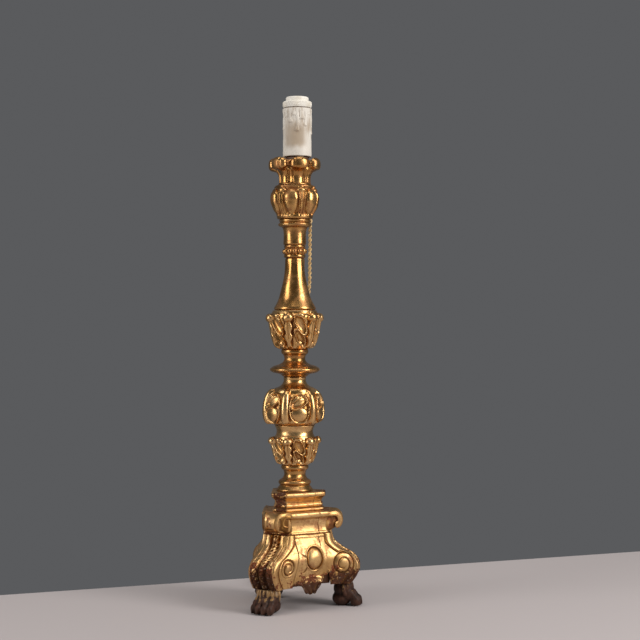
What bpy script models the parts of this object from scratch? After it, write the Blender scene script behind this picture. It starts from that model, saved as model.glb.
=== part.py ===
"""Altar candlestick of carved, gilded wood on three lion paws, wired as a lamp. Metres, +Z up.

The stem stands on the axis of the empty "stem_axis". Its three legs point along 0, 120 and 240 degrees,
so the object's box is not centred on the stem: the empty is moved until the origin lies under the middle
of the box, on the table.
"""

import math

import bmesh
import bpy
from mathutils import Vector

MM = 0.001

# Fits and facets
FIT = 0.3 * MM  # gap between two pieces that touch or fit
PLAIN_SIDES = 24
CARVED_SIDES = 30  # five to each of six leaves or lobes
LAMP_SIDES = 16
ARC_STEPS = 2

# Paws
FEET = 3
PAW_HEIGHT = 26.5 * MM
PAW_REACH = 77.8 * MM  # from the stem's axis to the toe tips
PAW_HEEL = 43.0 * MM
PAW_HALF_WIDTH = 14.5 * MM
TOE_GROOVE = 3.4 * MM
TOES = 4
PAW_POINTS = 28  # round one ring of the paw
DOWEL_RADIUS = 4.0 * MM
DOWEL_BITE = 9.0 * MM  # how far the dowel goes into the paw and into the leg
DOWEL_REACH = 54.0 * MM

# Legs
LEG_HEIGHT = 58.0 * MM
LEG_HALF_WIDTH = 15.0 * MM  # of the front strip
ANKLE_REACH = 64.0 * MM
KNEE_REACH = 73.5 * MM
SHOULDER_REACH = 66.0 * MM
WAIST_REACH = 44.5 * MM
LEG_TOP_REACH = 41.0 * MM
SEAM_TOP_REACH = 33.0 * MM  # the glue face between body and leg, at the top
SEAM_FOOT_REACH = 41.0 * MM
STRIP_DEPTH = 2.2 * MM  # grooves beside the bead chain on the leg's front
EYE_RADIUS = 8.0 * MM  # eye of the scroll on the leg's flank
EYE_RISE = 2.6 * MM
EYE_REACH = 55.0 * MM
EYE_HEIGHT = 22.0 * MM  # above the leg's foot

# Body block
PANEL_TOP = 34.0 * MM  # from the axis to the middle of a panel
PANEL_BELLY = 42.0 * MM
PANEL_FOOT = 38.5 * MM
EDGE_LIFT = 1.5 * MM  # the body's lower edge above the foot of the legs
PENDANT_DROP = 11.5 * MM
PENDANT_HALF_WIDTH = 15.0 * MM
CABOCHON_HALF_WIDTH = 9.2 * MM
CABOCHON_HALF_HEIGHT = 12.4 * MM
CABOCHON_RISE = 2.8 * MM
CABOCHON_LIFT = 32.0 * MM  # its middle above the foot of the legs
UNDERSIDE_DEPTH = 12.0 * MM

# Scroll cap
CAP_HEIGHT = 24.6 * MM
CAP_CORNER = 38.0 * MM
BAND_HEIGHT = 5.8 * MM
BAND_OVERHANG = 2.6 * MM
CAP_BEAD = 1.2 * MM
VOLUTE_REACH = 43.3 * MM
VOLUTE_RADIUS = 10.6 * MM
VOLUTE_THICKNESS = 7.0 * MM
VOLUTE_SIDE = 35.4 * MM  # from the axis to the volute's side, which lies along the cap's face
VOLUTE_SWEEP = math.radians(178)
VOLUTE_ROOT = 18.0 * MM  # where the rolled strip starts, inside the cap

# Plinth
PLINTH_HEIGHT = 21.0 * MM
PLINTH_LIP = 26.4 * MM
PLINTH_LIP_CORNER = 35.8 * MM
PLINTH_WAIST = 21.6 * MM
PLINTH_WAIST_CORNER = 30.6 * MM
PLINTH_STEP = 24.8 * MM
PLINTH_STEP_CORNER = 34.0 * MM

# Joints of the stem
SPIGOT_RADIUS = 8.0 * MM  # long spigot of the stem foot, through plinth and cap into the body
SPIGOT_BITE = 18.0 * MM
TENON_RADIUS = 7.0 * MM
TENON_LENGTH = 9.0 * MM
CUP_TENON_RADIUS = 11.0 * MM
CUP_TENON_LENGTH = 7.0 * MM

# Stem, from the foot up
STEM_FOOT_HEIGHT = 29.4 * MM
STEM_FOOT_RADIUS = 21.1 * MM
STEM_FOOT_RING = 18.5 * MM
STEM_FOOT_NECK = 12.0 * MM
COLLAR_RADIUS = 15.5 * MM  # small collar under each calyx

LOWER_CALYX_HEIGHT = 45.7 * MM
LOWER_CALYX_FOOT = 17.0 * MM
LOWER_CALYX_TIPS = 27.3 * MM
LOWER_CALYX_NECK = 21.0 * MM
CALYX_LEAVES = 6

LEAF_KNOP_HEIGHT = 54.7 * MM
LEAF_KNOP_RADIUS = 35.6 * MM
LEAF_KNOP_FOOT = 25.0 * MM
LEAF_KNOP_NECK = 12.6 * MM
LEAF_KNOP_GROOVE = 2.5 * MM
KNOP_LEAVES = 6

DISC_HEIGHT = 31.7 * MM
DISC_RADIUS = 28.4 * MM
DISC_NECK = 11.7 * MM

UPPER_CALYX_HEIGHT = 44.2 * MM
UPPER_CALYX_FOOT = 19.0 * MM
UPPER_CALYX_TIPS = 30.4 * MM
UPPER_CALYX_TOP = 25.5 * MM
LEAF_GROOVE = 2.2 * MM
LEAF_ROLL = 2.6 * MM  # how far the leaf tips roll outwards
CALYX_FLARE = 2.5 * MM

SHAFT_HEIGHT = 59.7 * MM
SHAFT_FLARE = 24.3 * MM
SHAFT_RADIUS = 11.2 * MM

BEAD_RING_HEIGHT = 14.2 * MM
BEAD_RING_RADIUS = 12.4 * MM
BEAD_RADIUS = 14.3 * MM
BEADS = 12

NECK_HEIGHT = 29.5 * MM
NECK_RADIUS = 12.9 * MM
NECK_COLLAR = 19.5 * MM
NECK_COVE = 3.2 * MM

GADROON_HEIGHT = 38.4 * MM
GADROON_RADIUS = 28.7 * MM
GADROON_FOOT = 20.0 * MM
GADROON_TOP = 22.5 * MM
GADROON_GROOVE = 2.7 * MM
GADROONS = 6

CUP_HEIGHT = 30.8 * MM
CUP_WAIST = 18.6 * MM
CUP_RIM = 29.3 * MM
CUP_LOBE_DEPTH = 4.6 * MM
CUP_MOUTH = 21.5 * MM
CUP_FLOOR = 26.5 * MM  # above the cup's seat
CUP_LOBES = 6

# How far each carved section is turned: a leaf or lobe stands at this angle
CUP_TURN = math.radians(-76)
GADROON_TURN = math.radians(-99)
UPPER_CALYX_TURN = math.radians(-75)
LEAF_KNOP_TURN = math.radians(-79)
LOWER_CALYX_TURN = math.radians(-77)

# Lamp fitting, on its own axis a little to one side of the stem's
LAMP_OFFSET = 2.8 * MM
PLUG_RADIUS = 13.3 * MM
PLUG_HEIGHT = 5.9 * MM
PLUG_SPIGOT_RADIUS = 11.2 * MM
PLUG_SPIGOT_LENGTH = 10.5 * MM
PIPE_RADIUS = 5.0 * MM
PIPE_BORE = 3.6 * MM
PIPE_BITE = 7.0 * MM  # into the cup, below the plug
WASHER_RADIUS = 9.0 * MM
WASHER_THICKNESS = 1.2 * MM
NUT_ACROSS_FLATS = 14.0 * MM
NUT_HEIGHT = 4.0 * MM
HOLDER_RADIUS = 13.9 * MM
HOLDER_WALL = 1.7 * MM
HUB_RADIUS = 7.5 * MM
HUB_HEIGHT = 3.5 * MM
HUB_SLOPE = 2.5 * MM
HOLDER_CAP_HEIGHT = 15.0 * MM
HOLDER_CAP_FLOOR = 8.5 * MM
HOLDER_SHELL_HEIGHT = 47.4 * MM
HOLDER_SPIGOT_LENGTH = 5.5 * MM
THREAD_RADIUS = 13.2 * MM  # outside of the holder's thread for the shade ring
THREAD_HEIGHT = 14.3 * MM
BLOCK_RADIUS = 10.1 * MM
BLOCK_HEIGHT = 10.0 * MM
BLOCK_LIFT = 2.0 * MM  # above the joint of the holder's halves
SCREW_BORE = 7.1 * MM  # for a lamp cap with a 14 mm thread
SCREW_WALL = 1.0 * MM
SCREW_HEIGHT = 27.0 * MM
TONGUE_LENGTH = 8.0 * MM
TONGUE_WIDTH = 4.0 * MM
TONGUE_THICKNESS = 0.6 * MM
TONGUE_RISE = 2.2 * MM
TONGUE_ROOT = 4.5 * MM  # from the lamp's axis to the tongue's hinge
TERMINAL_REACH = 5.6 * MM
TERMINAL_HEAD_RADIUS = 2.3 * MM
TERMINAL_HEAD_HEIGHT = 1.6 * MM
TERMINAL_SHANK_RADIUS = 1.2 * MM
TERMINAL_SHANK_LENGTH = 5.0 * MM
SLEEVE_RADIUS = 16.3 * MM
SLEEVE_LIP = 1.2 * MM
SLEEVE_SLACK = 0.6 * MM  # between the sleeve and the holder inside it
RING_RADIUS = 16.7 * MM
RING_HEIGHT = 7.3 * MM
RING_RIB = 0.6 * MM
RING_RIBS = 24

# Cord, a twisted pair
CORD_DIAMETER = 4.4 * MM
LEAD_CLEARANCE = 1.6 * MM
EXIT_ANGLE = math.radians(62)  # the exit in plan, behind and to the right
EXIT_DIP = math.radians(35)  # below level
EXIT_TURN_LIFT = 23.2 * MM  # where the lead turns outwards, above the seat of the gadrooned knop
LEAD_BEND = 10.0 * MM
BUSH_LENGTH = 11.0 * MM
BUSH_WALL = 1.0 * MM
BUSH_END = 30.5 * MM  # from the turn to the bush's mouth
TUBE_STEP = 2.5  # points along a cord, in diameters

# Route of the cord down the back of the stem, from the axis: hand-chosen points in millimetres
CORD_ROUTE = (
    (17.4, 29.6, 434.0),
    (17.2, 30.2, 415.0),
    (17.0, 30.2, 395.0),
    (16.8, 30.4, 372.0),
    (15.0, 32.4, 352.0),
    (12.4, 35.6, 335.0),
    (10.4, 36.8, 318.0),
    (9.0, 37.8, 298.0),
    (8.2, 39.0, 275.0),
    (7.6, 40.6, 250.0),
    (7.2, 41.6, 228.0),
    (7.2, 41.8, 205.0),
    (7.6, 42.4, 180.0),
    (8.2, 43.2, 152.0),
    (9.4, 44.4, 125.0),
    (11.0, 46.4, 102.0),
    (13.0, 48.8, 80.0),
    (14.8, 51.2, 58.0),
    (16.2, 54.2, 38.0),
    (17.0, 58.6, 22.0),
    (17.6, 65.6, 10.4),
    (18.2, 75.6, 4.6),
    (18.6, 88.0, 3.0),
    (18.8, 103.0, 3.0),
)

# Coil of the spare length, behind the base
COIL_CENTRE = (-14.0 * MM, 146.0 * MM)
COIL_TURNS = 3.5  # in each of two layers
COIL_MEAN_RADIUS = 24.2 * MM
COIL_SPACE = 0.7 * MM  # between turns
COIL_LOOP_POINTS = 24
TIE_ANGLE = math.radians(10)
TIE_THICKNESS = 0.9 * MM
TIE_WIDTH = 6.0 * MM

# Plug, lying on the coil
PLUG_BODY_WIDTH = 35.0 * MM
PLUG_BODY_DEPTH = 13.7 * MM
PLUG_BODY_LENGTH = 30.0 * MM
PLUG_REAR_WIDTH = 15.0 * MM
PLUG_REAR_DEPTH = 11.0 * MM
PLUG_SLEEVE_LENGTH = 14.0 * MM
PLUG_SLEEVE_RADIUS = 5.0 * MM
PLUG_PIN_RADIUS = 2.0 * MM
PLUG_PIN_LENGTH = 19.0 * MM
PLUG_PIN_SPACING = 18.6 * MM
TAIL_BEND = 18.0 * MM
TAIL_TURN = 6.0 * MM  # straight stretch before the plug's sleeve
TAIL_REACH = 23.0 * MM  # how far the plug's sleeve starts in front of the coil's middle

# Levels, each standing on the one below
LEG_Z = PAW_HEIGHT + FIT
BODY_TOP_Z = LEG_Z + LEG_HEIGHT
CAP_Z = BODY_TOP_Z + FIT
PLINTH_Z = CAP_Z + CAP_HEIGHT + FIT
STEM_FOOT_Z = PLINTH_Z + PLINTH_HEIGHT + FIT
LOWER_CALYX_Z = STEM_FOOT_Z + STEM_FOOT_HEIGHT + FIT
LEAF_KNOP_Z = LOWER_CALYX_Z + LOWER_CALYX_HEIGHT + FIT
DISC_Z = LEAF_KNOP_Z + LEAF_KNOP_HEIGHT + FIT
UPPER_CALYX_Z = DISC_Z + DISC_HEIGHT + FIT
SHAFT_Z = UPPER_CALYX_Z + UPPER_CALYX_HEIGHT + FIT
BEAD_RING_Z = SHAFT_Z + SHAFT_HEIGHT + FIT
NECK_Z = BEAD_RING_Z + BEAD_RING_HEIGHT + FIT
GADROON_Z = NECK_Z + NECK_HEIGHT + FIT
CUP_Z = GADROON_Z + GADROON_HEIGHT + FIT
PLUG_Z = CUP_Z + CUP_FLOOR + FIT
WASHER_Z = PLUG_Z + PLUG_HEIGHT + FIT
NUT_Z = WASHER_Z + WASHER_THICKNESS + FIT
HOLDER_CAP_Z = NUT_Z + NUT_HEIGHT + FIT
HOLDER_SHELL_Z = HOLDER_CAP_Z + HOLDER_CAP_HEIGHT + FIT
BLOCK_Z = HOLDER_SHELL_Z + BLOCK_LIFT
BLOCK_TOP_Z = BLOCK_Z + BLOCK_HEIGHT
SHOULDER_Z = HOLDER_SHELL_Z + HOLDER_SHELL_HEIGHT - THREAD_HEIGHT
SLEEVE_TOP_Z = SHOULDER_Z + FIT + SLEEVE_LIP
RING_Z = SLEEVE_TOP_Z + FIT
SLEEVE_HEIGHT = SLEEVE_TOP_Z - PLUG_Z - PLUG_HEIGHT - FIT  # it stands on the cup plug's rim
PIPE_FOOT_Z = PLUG_Z - PLUG_SPIGOT_LENGTH - PIPE_BITE
EXIT_TURN_Z = GADROON_Z + EXIT_TURN_LIFT

# Sizes that two pieces share
CORD_RADIUS = CORD_DIAMETER / 2
LEAD_HOLE = CORD_RADIUS + LEAD_CLEARANCE
HOLDER_BORE = HOLDER_RADIUS - HOLDER_WALL
BLOCK_BORE = BLOCK_RADIUS + FIT
SCREW_RADIUS = SCREW_BORE + SCREW_WALL
SLEEVE_BORE = HOLDER_RADIUS + SLEEVE_SLACK
THREAD_BORE = THREAD_RADIUS + FIT
COIL_PITCH = CORD_DIAMETER + COIL_SPACE
COIL_OUTER = COIL_MEAN_RADIUS + COIL_PITCH * COIL_TURNS / 2
COIL_INNER = COIL_MEAN_RADIUS - COIL_PITCH * COIL_TURNS / 2
COIL_LOW_Z = TIE_THICKNESS + FIT + CORD_RADIUS + FIT
COIL_HIGH_Z = COIL_LOW_Z + COIL_PITCH
PLUG_AXIS_Z = COIL_HIGH_Z + CORD_RADIUS + FIT + TIE_THICKNESS + FIT + PLUG_BODY_DEPTH / 2

HALF_CORNER = math.radians(60)  # between a leg and the middle of the panel beside it
FACE_COS = math.cos(HALF_CORNER)
FACE_SIN = math.sin(HALF_CORNER)


# Small helpers for numbers


def between(start, end, share):
    return start + (end - start) * share


def eased(share):
    share = max(0.0, min(1.0, share))
    return share * share * (3 - 2 * share)


def along_curve(points, place):
    """The height of a smooth curve through (place, height) points."""
    spots = [p[0] for p in points]
    values = [p[1] for p in points]
    last = len(points) - 1
    place = max(spots[0], min(spots[-1], place))
    i = next(k for k in range(last) if place <= spots[k + 1] or k == last - 1)

    def slope(k):
        low, high = max(k - 1, 0), min(k + 1, last)
        return (values[high] - values[low]) / (spots[high] - spots[low])

    step = spots[i + 1] - spots[i]
    s = (place - spots[i]) / step
    rise = eased(s)
    start = s * (1 - s) ** 2 * step * slope(i)
    end = s * s * (s - 1) * step * slope(i + 1)
    return between(values[i], values[i + 1], rise) + start + end


def with_arcs(outline):
    """Points of an outline. A third number bulges the stretch that ends there out by that much."""
    points = []
    for entry in outline:
        end = Vector(entry[:2])
        if len(entry) == 3 and points:
            start = points[-1]
            chord = end - start
            side = Vector((chord.y, -chord.x)).normalized()
            half = 2 * math.atan(2 * entry[2] / chord.length)
            for k in range(1, ARC_STEPS + 1):
                turn = half * (2 * k / (ARC_STEPS + 1) - 1)
                across = (math.cos(turn) - math.cos(half)) / (2 * math.sin(half)) * chord.length
                share = 0.5 + math.sin(turn) / (2 * math.sin(half))
                points.append(start + chord * share + side * across)
        points.append(end)
    return points


def smooth_route(points, step):
    """Evenly spaced points on a smooth curve through the given ones."""
    fine = []
    padded = [2 * points[0] - points[1], *points, 2 * points[-1] - points[-2]]
    for a, b, c, d in zip(padded, padded[1:], padded[2:], padded[3:]):
        for k in range(20):
            t = k / 20
            square = 2 * a - 5 * b + 4 * c - d
            cube = 3 * b - a - 3 * c + d
            fine.append((2 * b + (c - a) * t + square * t**2 + cube * t**3) / 2)
    fine.append(points[-1])
    lengths = [0.0]
    for a, b in zip(fine, fine[1:]):
        lengths.append(lengths[-1] + (b - a).length)
    count = max(2, round(lengths[-1] / step))
    route = []
    for k in range(count + 1):
        target = lengths[-1] * k / count
        i = next(j for j in range(len(fine) - 1) if target <= lengths[j + 1] or j == len(fine) - 2)
        span = max(lengths[i + 1] - lengths[i], 1e-12)
        route.append(fine[i].lerp(fine[i + 1], (target - lengths[i]) / span))
    return route


def length_of(points):
    return sum((b - a).length for a, b in zip(points, points[1:]))


# Small helpers for objects


def finish(name, colour, roughness, metallic=0.0):
    material = bpy.data.materials.new(name)
    material.use_nodes = True
    shader = material.node_tree.nodes["Principled BSDF"]
    shader.inputs["Base Color"].default_value = (*colour, 1.0)
    shader.inputs["Roughness"].default_value = roughness
    shader.inputs["Metallic"].default_value = metallic
    material.diffuse_color = (*colour, 1.0)
    return material


def empty(name, parent, location):
    holder = bpy.data.objects.new(name, None)
    holder.parent = parent
    holder.location = location
    bpy.context.collection.objects.link(holder)
    return holder


def piece(name, shape, material, parent, location=(0, 0, 0), turn=0.0):
    """An object from a bmesh, its faces turned outwards."""
    bmesh.ops.recalc_face_normals(shape, faces=shape.faces)
    mesh = bpy.data.meshes.new(name)
    shape.to_mesh(mesh)
    shape.free()
    mesh.shade_smooth()
    mesh.set_sharp_from_angle(angle=math.radians(35))
    mesh.materials.append(material)
    made = bpy.data.objects.new(name, mesh)
    made.parent = parent
    made.location = location
    made.rotation_euler.z = turn
    bpy.context.collection.objects.link(made)
    return made


def spun(outline, sides, closed=False, carve=None):
    """A bmesh turned about Z from an outline of (radius, height[, bulge]) points."""
    shape = bmesh.new()
    ring = [shape.verts.new((p.x, 0, p.y)) for p in with_arcs(outline)]
    edges = [shape.edges.new(pair) for pair in zip(ring, ring[1:])]
    if closed:
        edges.append(shape.edges.new((ring[-1], ring[0])))
    bmesh.ops.spin(
        shape, geom=ring + edges, axis=(0, 0, 1), angle=math.tau, steps=sides, use_merge=True
    )
    bmesh.ops.remove_doubles(shape, verts=shape.verts, dist=1e-7)
    if carve:
        for vert in shape.verts:
            radius = math.hypot(vert.co.x, vert.co.y)
            if radius > CUP_TENON_RADIUS + 2 * FIT:
                grown = carve(radius, vert.co.z, math.atan2(vert.co.y, vert.co.x)) / radius
                vert.co.x *= grown
                vert.co.y *= grown
    return shape


def lofted(rings, around=False):
    """A bmesh through rings of points, closed by end faces, or joined last to first."""
    shape = bmesh.new()
    rows = [[shape.verts.new(point) for point in ring] for ring in rings]
    pairs = list(zip(rows, rows[1:]))
    if around:
        pairs.append((rows[-1], rows[0]))
    else:
        shape.faces.new(rows[0])
        shape.faces.new(rows[-1])
    for low, high in pairs:
        for i in range(len(low)):
            j = (i + 1) % len(low)
            shape.faces.new((low[i], low[j], high[j], high[i]))
    return shape


def cutter(name, shape, parent, location=(0, 0, 0), turn=0.0):
    made = piece(name, shape, bpy.data.materials[0], parent, location, turn)
    made.hide_render = True
    made.display_type = "WIRE"
    return made


def combine(target, other, operation="DIFFERENCE"):
    boolean = target.modifiers.new(other.name, "BOOLEAN")
    boolean.operation = operation
    boolean.solver = "EXACT"
    boolean.object = other


def tube(name, points, material, parent, resolution):
    """A cord: a round tube through the points, with closed ends."""
    line = bpy.data.curves.new(name, "CURVE")
    line.dimensions = "3D"
    line.bevel_depth = CORD_RADIUS
    line.bevel_resolution = resolution
    line.use_fill_caps = True
    spline = line.splines.new("POLY")
    spline.points.add(len(points) - 1)
    for spot, point in zip(spline.points, points):
        spot.co = (*point, 1.0)
    line.materials.append(material)
    made = bpy.data.objects.new(name, line)
    made.parent = parent
    bpy.context.collection.objects.link(made)
    return made


def section(
    name, outline, z, material, parent,
    tenon=None, socket=None, turn=0.0, carve=None, sides=PLAIN_SIDES,
):
    """One turned section of the stem, with a tenon below its seat and a socket in its top."""
    height = outline[-1][1]
    tenon_radius, tenon_length = tenon or (TENON_RADIUS, TENON_LENGTH)
    socket_radius, socket_length = socket or (TENON_RADIUS, TENON_LENGTH)
    floor = height - socket_length - FIT
    foot = [(0, -tenon_length), (tenon_radius, -tenon_length), (tenon_radius, 0)]
    head = [(socket_radius + FIT, height), (socket_radius + FIT, floor), (0, floor)]
    shape = spun(foot + outline + head, sides, carve=carve)
    return piece(name, shape, material, parent, (0, 0, z), turn)


# The base


def leg_reach(share):
    """How far the leg's front stands from the axis, at a share of the leg's height."""
    contour = (
        (0.0, ANKLE_REACH),
        (0.07, between(ANKLE_REACH, KNEE_REACH, 0.3)),
        (0.20, between(ANKLE_REACH, KNEE_REACH, 0.78)),
        (0.33, KNEE_REACH),
        (0.43, between(SHOULDER_REACH, KNEE_REACH, 0.83)),
        (0.55, SHOULDER_REACH),
        (0.66, between(WAIST_REACH, SHOULDER_REACH, 0.5)),
        (0.81, WAIST_REACH),
        (1.0, LEG_TOP_REACH),
    )
    return along_curve(contour, share)


def seam_reach(share):
    return between(SEAM_FOOT_REACH, SEAM_TOP_REACH, share)


def panel_middle(share):
    belly = ((-0.3, PANEL_FOOT), (0.1, PANEL_FOOT), (0.55, PANEL_BELLY), (1.0, PANEL_TOP))
    return along_curve(belly, share)


def bump(across, along, rise):
    """A round-topped boss: rise in the middle, nothing past its edge."""
    inside = 1 - across * across - along * along
    return rise * math.sqrt(inside) if inside > 0 else 0.0


def corner_face(share):
    """The face's distance from the axis, and its half length, at the leg's front edge."""
    face = leg_reach(share) * FACE_COS + LEG_HALF_WIDTH * FACE_SIN
    return face, (leg_reach(share) - face * FACE_COS) / FACE_SIN


def face_depth(along, share):
    """Distance of a face from the axis: a bellied panel between two legs whose scrolls stand out."""
    face, half = corner_face(share)
    middle = panel_middle(share)
    depth = between(middle, face, min(1.0, (along / half) ** 2))
    height = share * LEG_HEIGHT
    up = (height - CABOCHON_LIFT) / CABOCHON_HALF_HEIGHT
    depth += bump(along / CABOCHON_HALF_WIDTH, up, CABOCHON_RISE)
    eye_along = (EYE_REACH - depth * FACE_COS) / FACE_SIN
    off = (abs(along) - eye_along) / EYE_RADIUS
    return depth + bump(off, (height - EYE_HEIGHT) / EYE_RADIUS, EYE_RISE)


def seam_along(share):
    """Where, along a face, the body ends and the leg begins."""
    along = seam_reach(share) / 2
    for _ in range(6):
        along = (seam_reach(share) - face_depth(along, share) * FACE_COS) / FACE_SIN
    return along


def canted_triangle(face, corner, z):
    """Six points: three faces, and three corners cut square to the legs."""
    half = (corner - face * FACE_COS) / FACE_SIN
    points = []
    for k in range(FEET):
        angle = HALF_CORNER + k * math.tau / FEET
        normal = Vector((math.cos(angle), math.sin(angle), 0))
        side = Vector((-math.sin(angle), math.cos(angle), 0))
        for along in (-half, half):
            points.append(normal * face + side * along + Vector((0, 0, z)))
    return points


def make_body(material, parent, spigot_hole):
    columns = 12
    shares = (0.0, 0.12, 0.24, 0.36, 0.45, 0.55, 0.65, 0.76, 0.88, 1.0)

    def lower_edge(along):
        hang = max(0.0, 1 - abs(along) / PENDANT_HALF_WIDTH)
        return EDGE_LIFT - PENDANT_DROP * eased(1.6 * hang)

    rings = []
    for share in shares:
        ring = []
        for k in range(FEET):
            angle = HALF_CORNER + k * math.tau / FEET
            normal = Vector((math.cos(angle), math.sin(angle), 0))
            side = Vector((-math.sin(angle), math.cos(angle), 0))
            half = seam_along(share)
            for column in range(columns + 1):
                along = half * (2 * column / columns - 1)
                low = lower_edge(along)
                height = between(low, LEG_HEIGHT, share)
                depth = face_depth(along, max(0.0, height / LEG_HEIGHT))
                ring.append(normal * depth + side * along + Vector((0, 0, height)))
        rings.append(ring)
    hollow = [Vector((p.x * 0.8, p.y * 0.8, UNDERSIDE_DEPTH)) for p in rings[0]]
    body = piece("base_body", lofted([hollow, *rings]), material, parent, (0, 0, LEG_Z))
    combine(body, spigot_hole)


def make_leg(name, material, parent, turn, dowel_hole):
    shares = (0.0, 0.07, 0.15, 0.25, 0.33, 0.42, 0.5, 0.58, 0.67, 0.77, 0.88, 1.0)
    flank_steps = 4
    strip = ((-0.7, 0.3), (-0.42, 1.0), (-0.24, 0.15), (0.0, -0.35), (0.24, 0.15), (0.42, 1.0), (0.7, 0.3))
    rings = []
    for share in shares:
        height = share * LEG_HEIGHT
        start = seam_along(share) + FIT / FACE_SIN
        end = corner_face(share)[1]
        flank = []
        for k in range(flank_steps + 1):
            along = between(start, end, k / flank_steps)
            depth = face_depth(along, share)
            reach = depth * FACE_COS + along * FACE_SIN
            flank.append((reach, depth * FACE_SIN - along * FACE_COS))
        front = [(leg_reach(share) - STRIP_DEPTH * sink, place * LEG_HALF_WIDTH) for place, sink in strip]
        left = [Vector((x, -y, height)) for x, y in flank]
        right = [Vector((x, y, height)) for x, y in reversed(flank)]
        rings.append(left + [Vector((x, y, height)) for x, y in front] + right)
    leg = piece(name, lofted(rings), material, parent, (0, 0, LEG_Z), turn)
    combine(leg, dowel_hole)


def make_paw(name, material, parent, turn, dowel_hole):
    # share of the height, reach of the toes, reach of the heel, half width, depth of the toe grooves
    stations = (
        (0.0, 0.975, 1.02, 0.86, 0.8),
        (0.1, 0.995, 1.0, 0.97, 1.0),
        (0.3, 1.0, 1.0, 1.0, 1.0),
        (0.5, 0.935, 1.0, 0.95, 0.8),
        (0.68, 0.95, 1.0, 0.95, 0.6),
        (0.86, 0.895, 1.0, 0.9, 0.25),
        (1.0, 0.83, 1.02, 0.84, 0.0),
    )
    rings = []
    for share, toes, heel, width, groove in stations:
        front, back = PAW_REACH * toes, PAW_HEEL * heel
        half_length, half_width = (front - back) / 2, PAW_HALF_WIDTH * width
        ring = []
        for k in range(PAW_POINTS):
            angle = math.tau * k / PAW_POINTS
            across = math.copysign(abs(math.sin(angle)) ** 0.65, math.sin(angle))
            along = math.copysign(abs(math.cos(angle)) ** 0.65, math.cos(angle))
            toe = abs(math.cos(across * TOES * math.pi / 2))
            if TOES % 2:
                toe = abs(math.sin(across * TOES * math.pi / 2))
            cut = TOE_GROOVE * groove * toe**3 * max(0.0, math.cos(angle))
            x = (front + back) / 2 + half_length * along - cut
            ring.append(Vector((x, half_width * across, share * PAW_HEIGHT)))
        rings.append(ring)
    paw = piece(name, lofted(rings), material, parent, (0, 0, 0), turn)
    combine(paw, dowel_hole)


def make_feet(gold, worn_wood, bare_wood, parent):
    for k, side in enumerate(("right", "back", "front")):
        turn = k * math.tau / FEET
        place = Vector((DOWEL_REACH * math.cos(turn), DOWEL_REACH * math.sin(turn), LEG_Z - FIT / 2))
        reach = DOWEL_BITE + FIT / 2
        hole = cutter(
            f"dowel_hole_{side}",
            spun([(0, -reach - FIT), (DOWEL_RADIUS + FIT, -reach - FIT), (DOWEL_RADIUS + FIT, reach + FIT),
                  (0, reach + FIT)], PLAIN_SIDES // 2),
            parent, place,
        )
        pin = [(0, -reach), (DOWEL_RADIUS, -reach), (DOWEL_RADIUS, reach), (0, reach)]
        piece(f"paw_dowel_{side}", spun(pin, PLAIN_SIDES // 2), bare_wood, parent, place)
        make_leg(f"leg_{side}", gold, parent, turn, hole)
        make_paw(f"paw_{side}", worn_wood, parent, turn, hole)


def volute_outline():
    """A strip in the leg's plane that runs out along the band and rolls down and in, as (reach, height)."""
    centre = Vector((VOLUTE_REACH, CAP_HEIGHT - VOLUTE_RADIUS))
    inner = VOLUTE_RADIUS - VOLUTE_THICKNESS
    steps = 10
    outside, inside = [], []
    for k in range(steps + 1):
        angle = math.pi / 2 - VOLUTE_SWEEP * k / steps
        ray = Vector((math.cos(angle), math.sin(angle)))
        outside.append(centre + ray * VOLUTE_RADIUS)
        inside.append(centre + ray * inner)
    tip = (outside[-1] + inside[-1]) / 2
    tip += (outside[-1] - outside[-2]).normalized() * VOLUTE_THICKNESS / 2
    return [Vector((VOLUTE_ROOT, CAP_HEIGHT)), *outside, tip, *reversed(inside),
            Vector((VOLUTE_ROOT, CAP_HEIGHT - VOLUTE_THICKNESS))]


def volute_half_width(reach):
    """Half the volute's width at a reach: its sides lie along the cap's faces, so it narrows outwards."""
    return (VOLUTE_SIDE - reach * FACE_COS) / FACE_SIN


def make_scroll_cap(material, parent, spigot_hole):
    band = CAP_HEIGHT - BAND_HEIGHT
    levels = (
        (PANEL_TOP + CAP_BEAD, 0.0),
        (PANEL_TOP + CAP_BEAD, 2 * CAP_BEAD),
        (PANEL_TOP, 2.5 * CAP_BEAD),
        (PANEL_TOP, band - 1 * MM),
        (PANEL_TOP + BAND_OVERHANG, band + 0.5 * MM),
        (PANEL_TOP + BAND_OVERHANG, CAP_HEIGHT - 1 * MM),
        (PANEL_TOP + BAND_OVERHANG - 1 * MM, CAP_HEIGHT),
    )
    core = lofted([canted_triangle(face, CAP_CORNER + (face - PANEL_TOP), z) for face, z in levels])
    cap = piece("scroll_cap", core, material, parent, (0, 0, CAP_Z))
    profile = volute_outline()
    for k in range(FEET):
        ends = [[Vector((p.x, side * volute_half_width(p.x), p.y)) for p in profile] for side in (-1, 1)]
        roll = cutter(f"volute_{k + 1}", lofted(ends), parent, (0, 0, CAP_Z), k * math.tau / FEET)
        combine(cap, roll, "UNION")
    combine(cap, spigot_hole)


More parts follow.
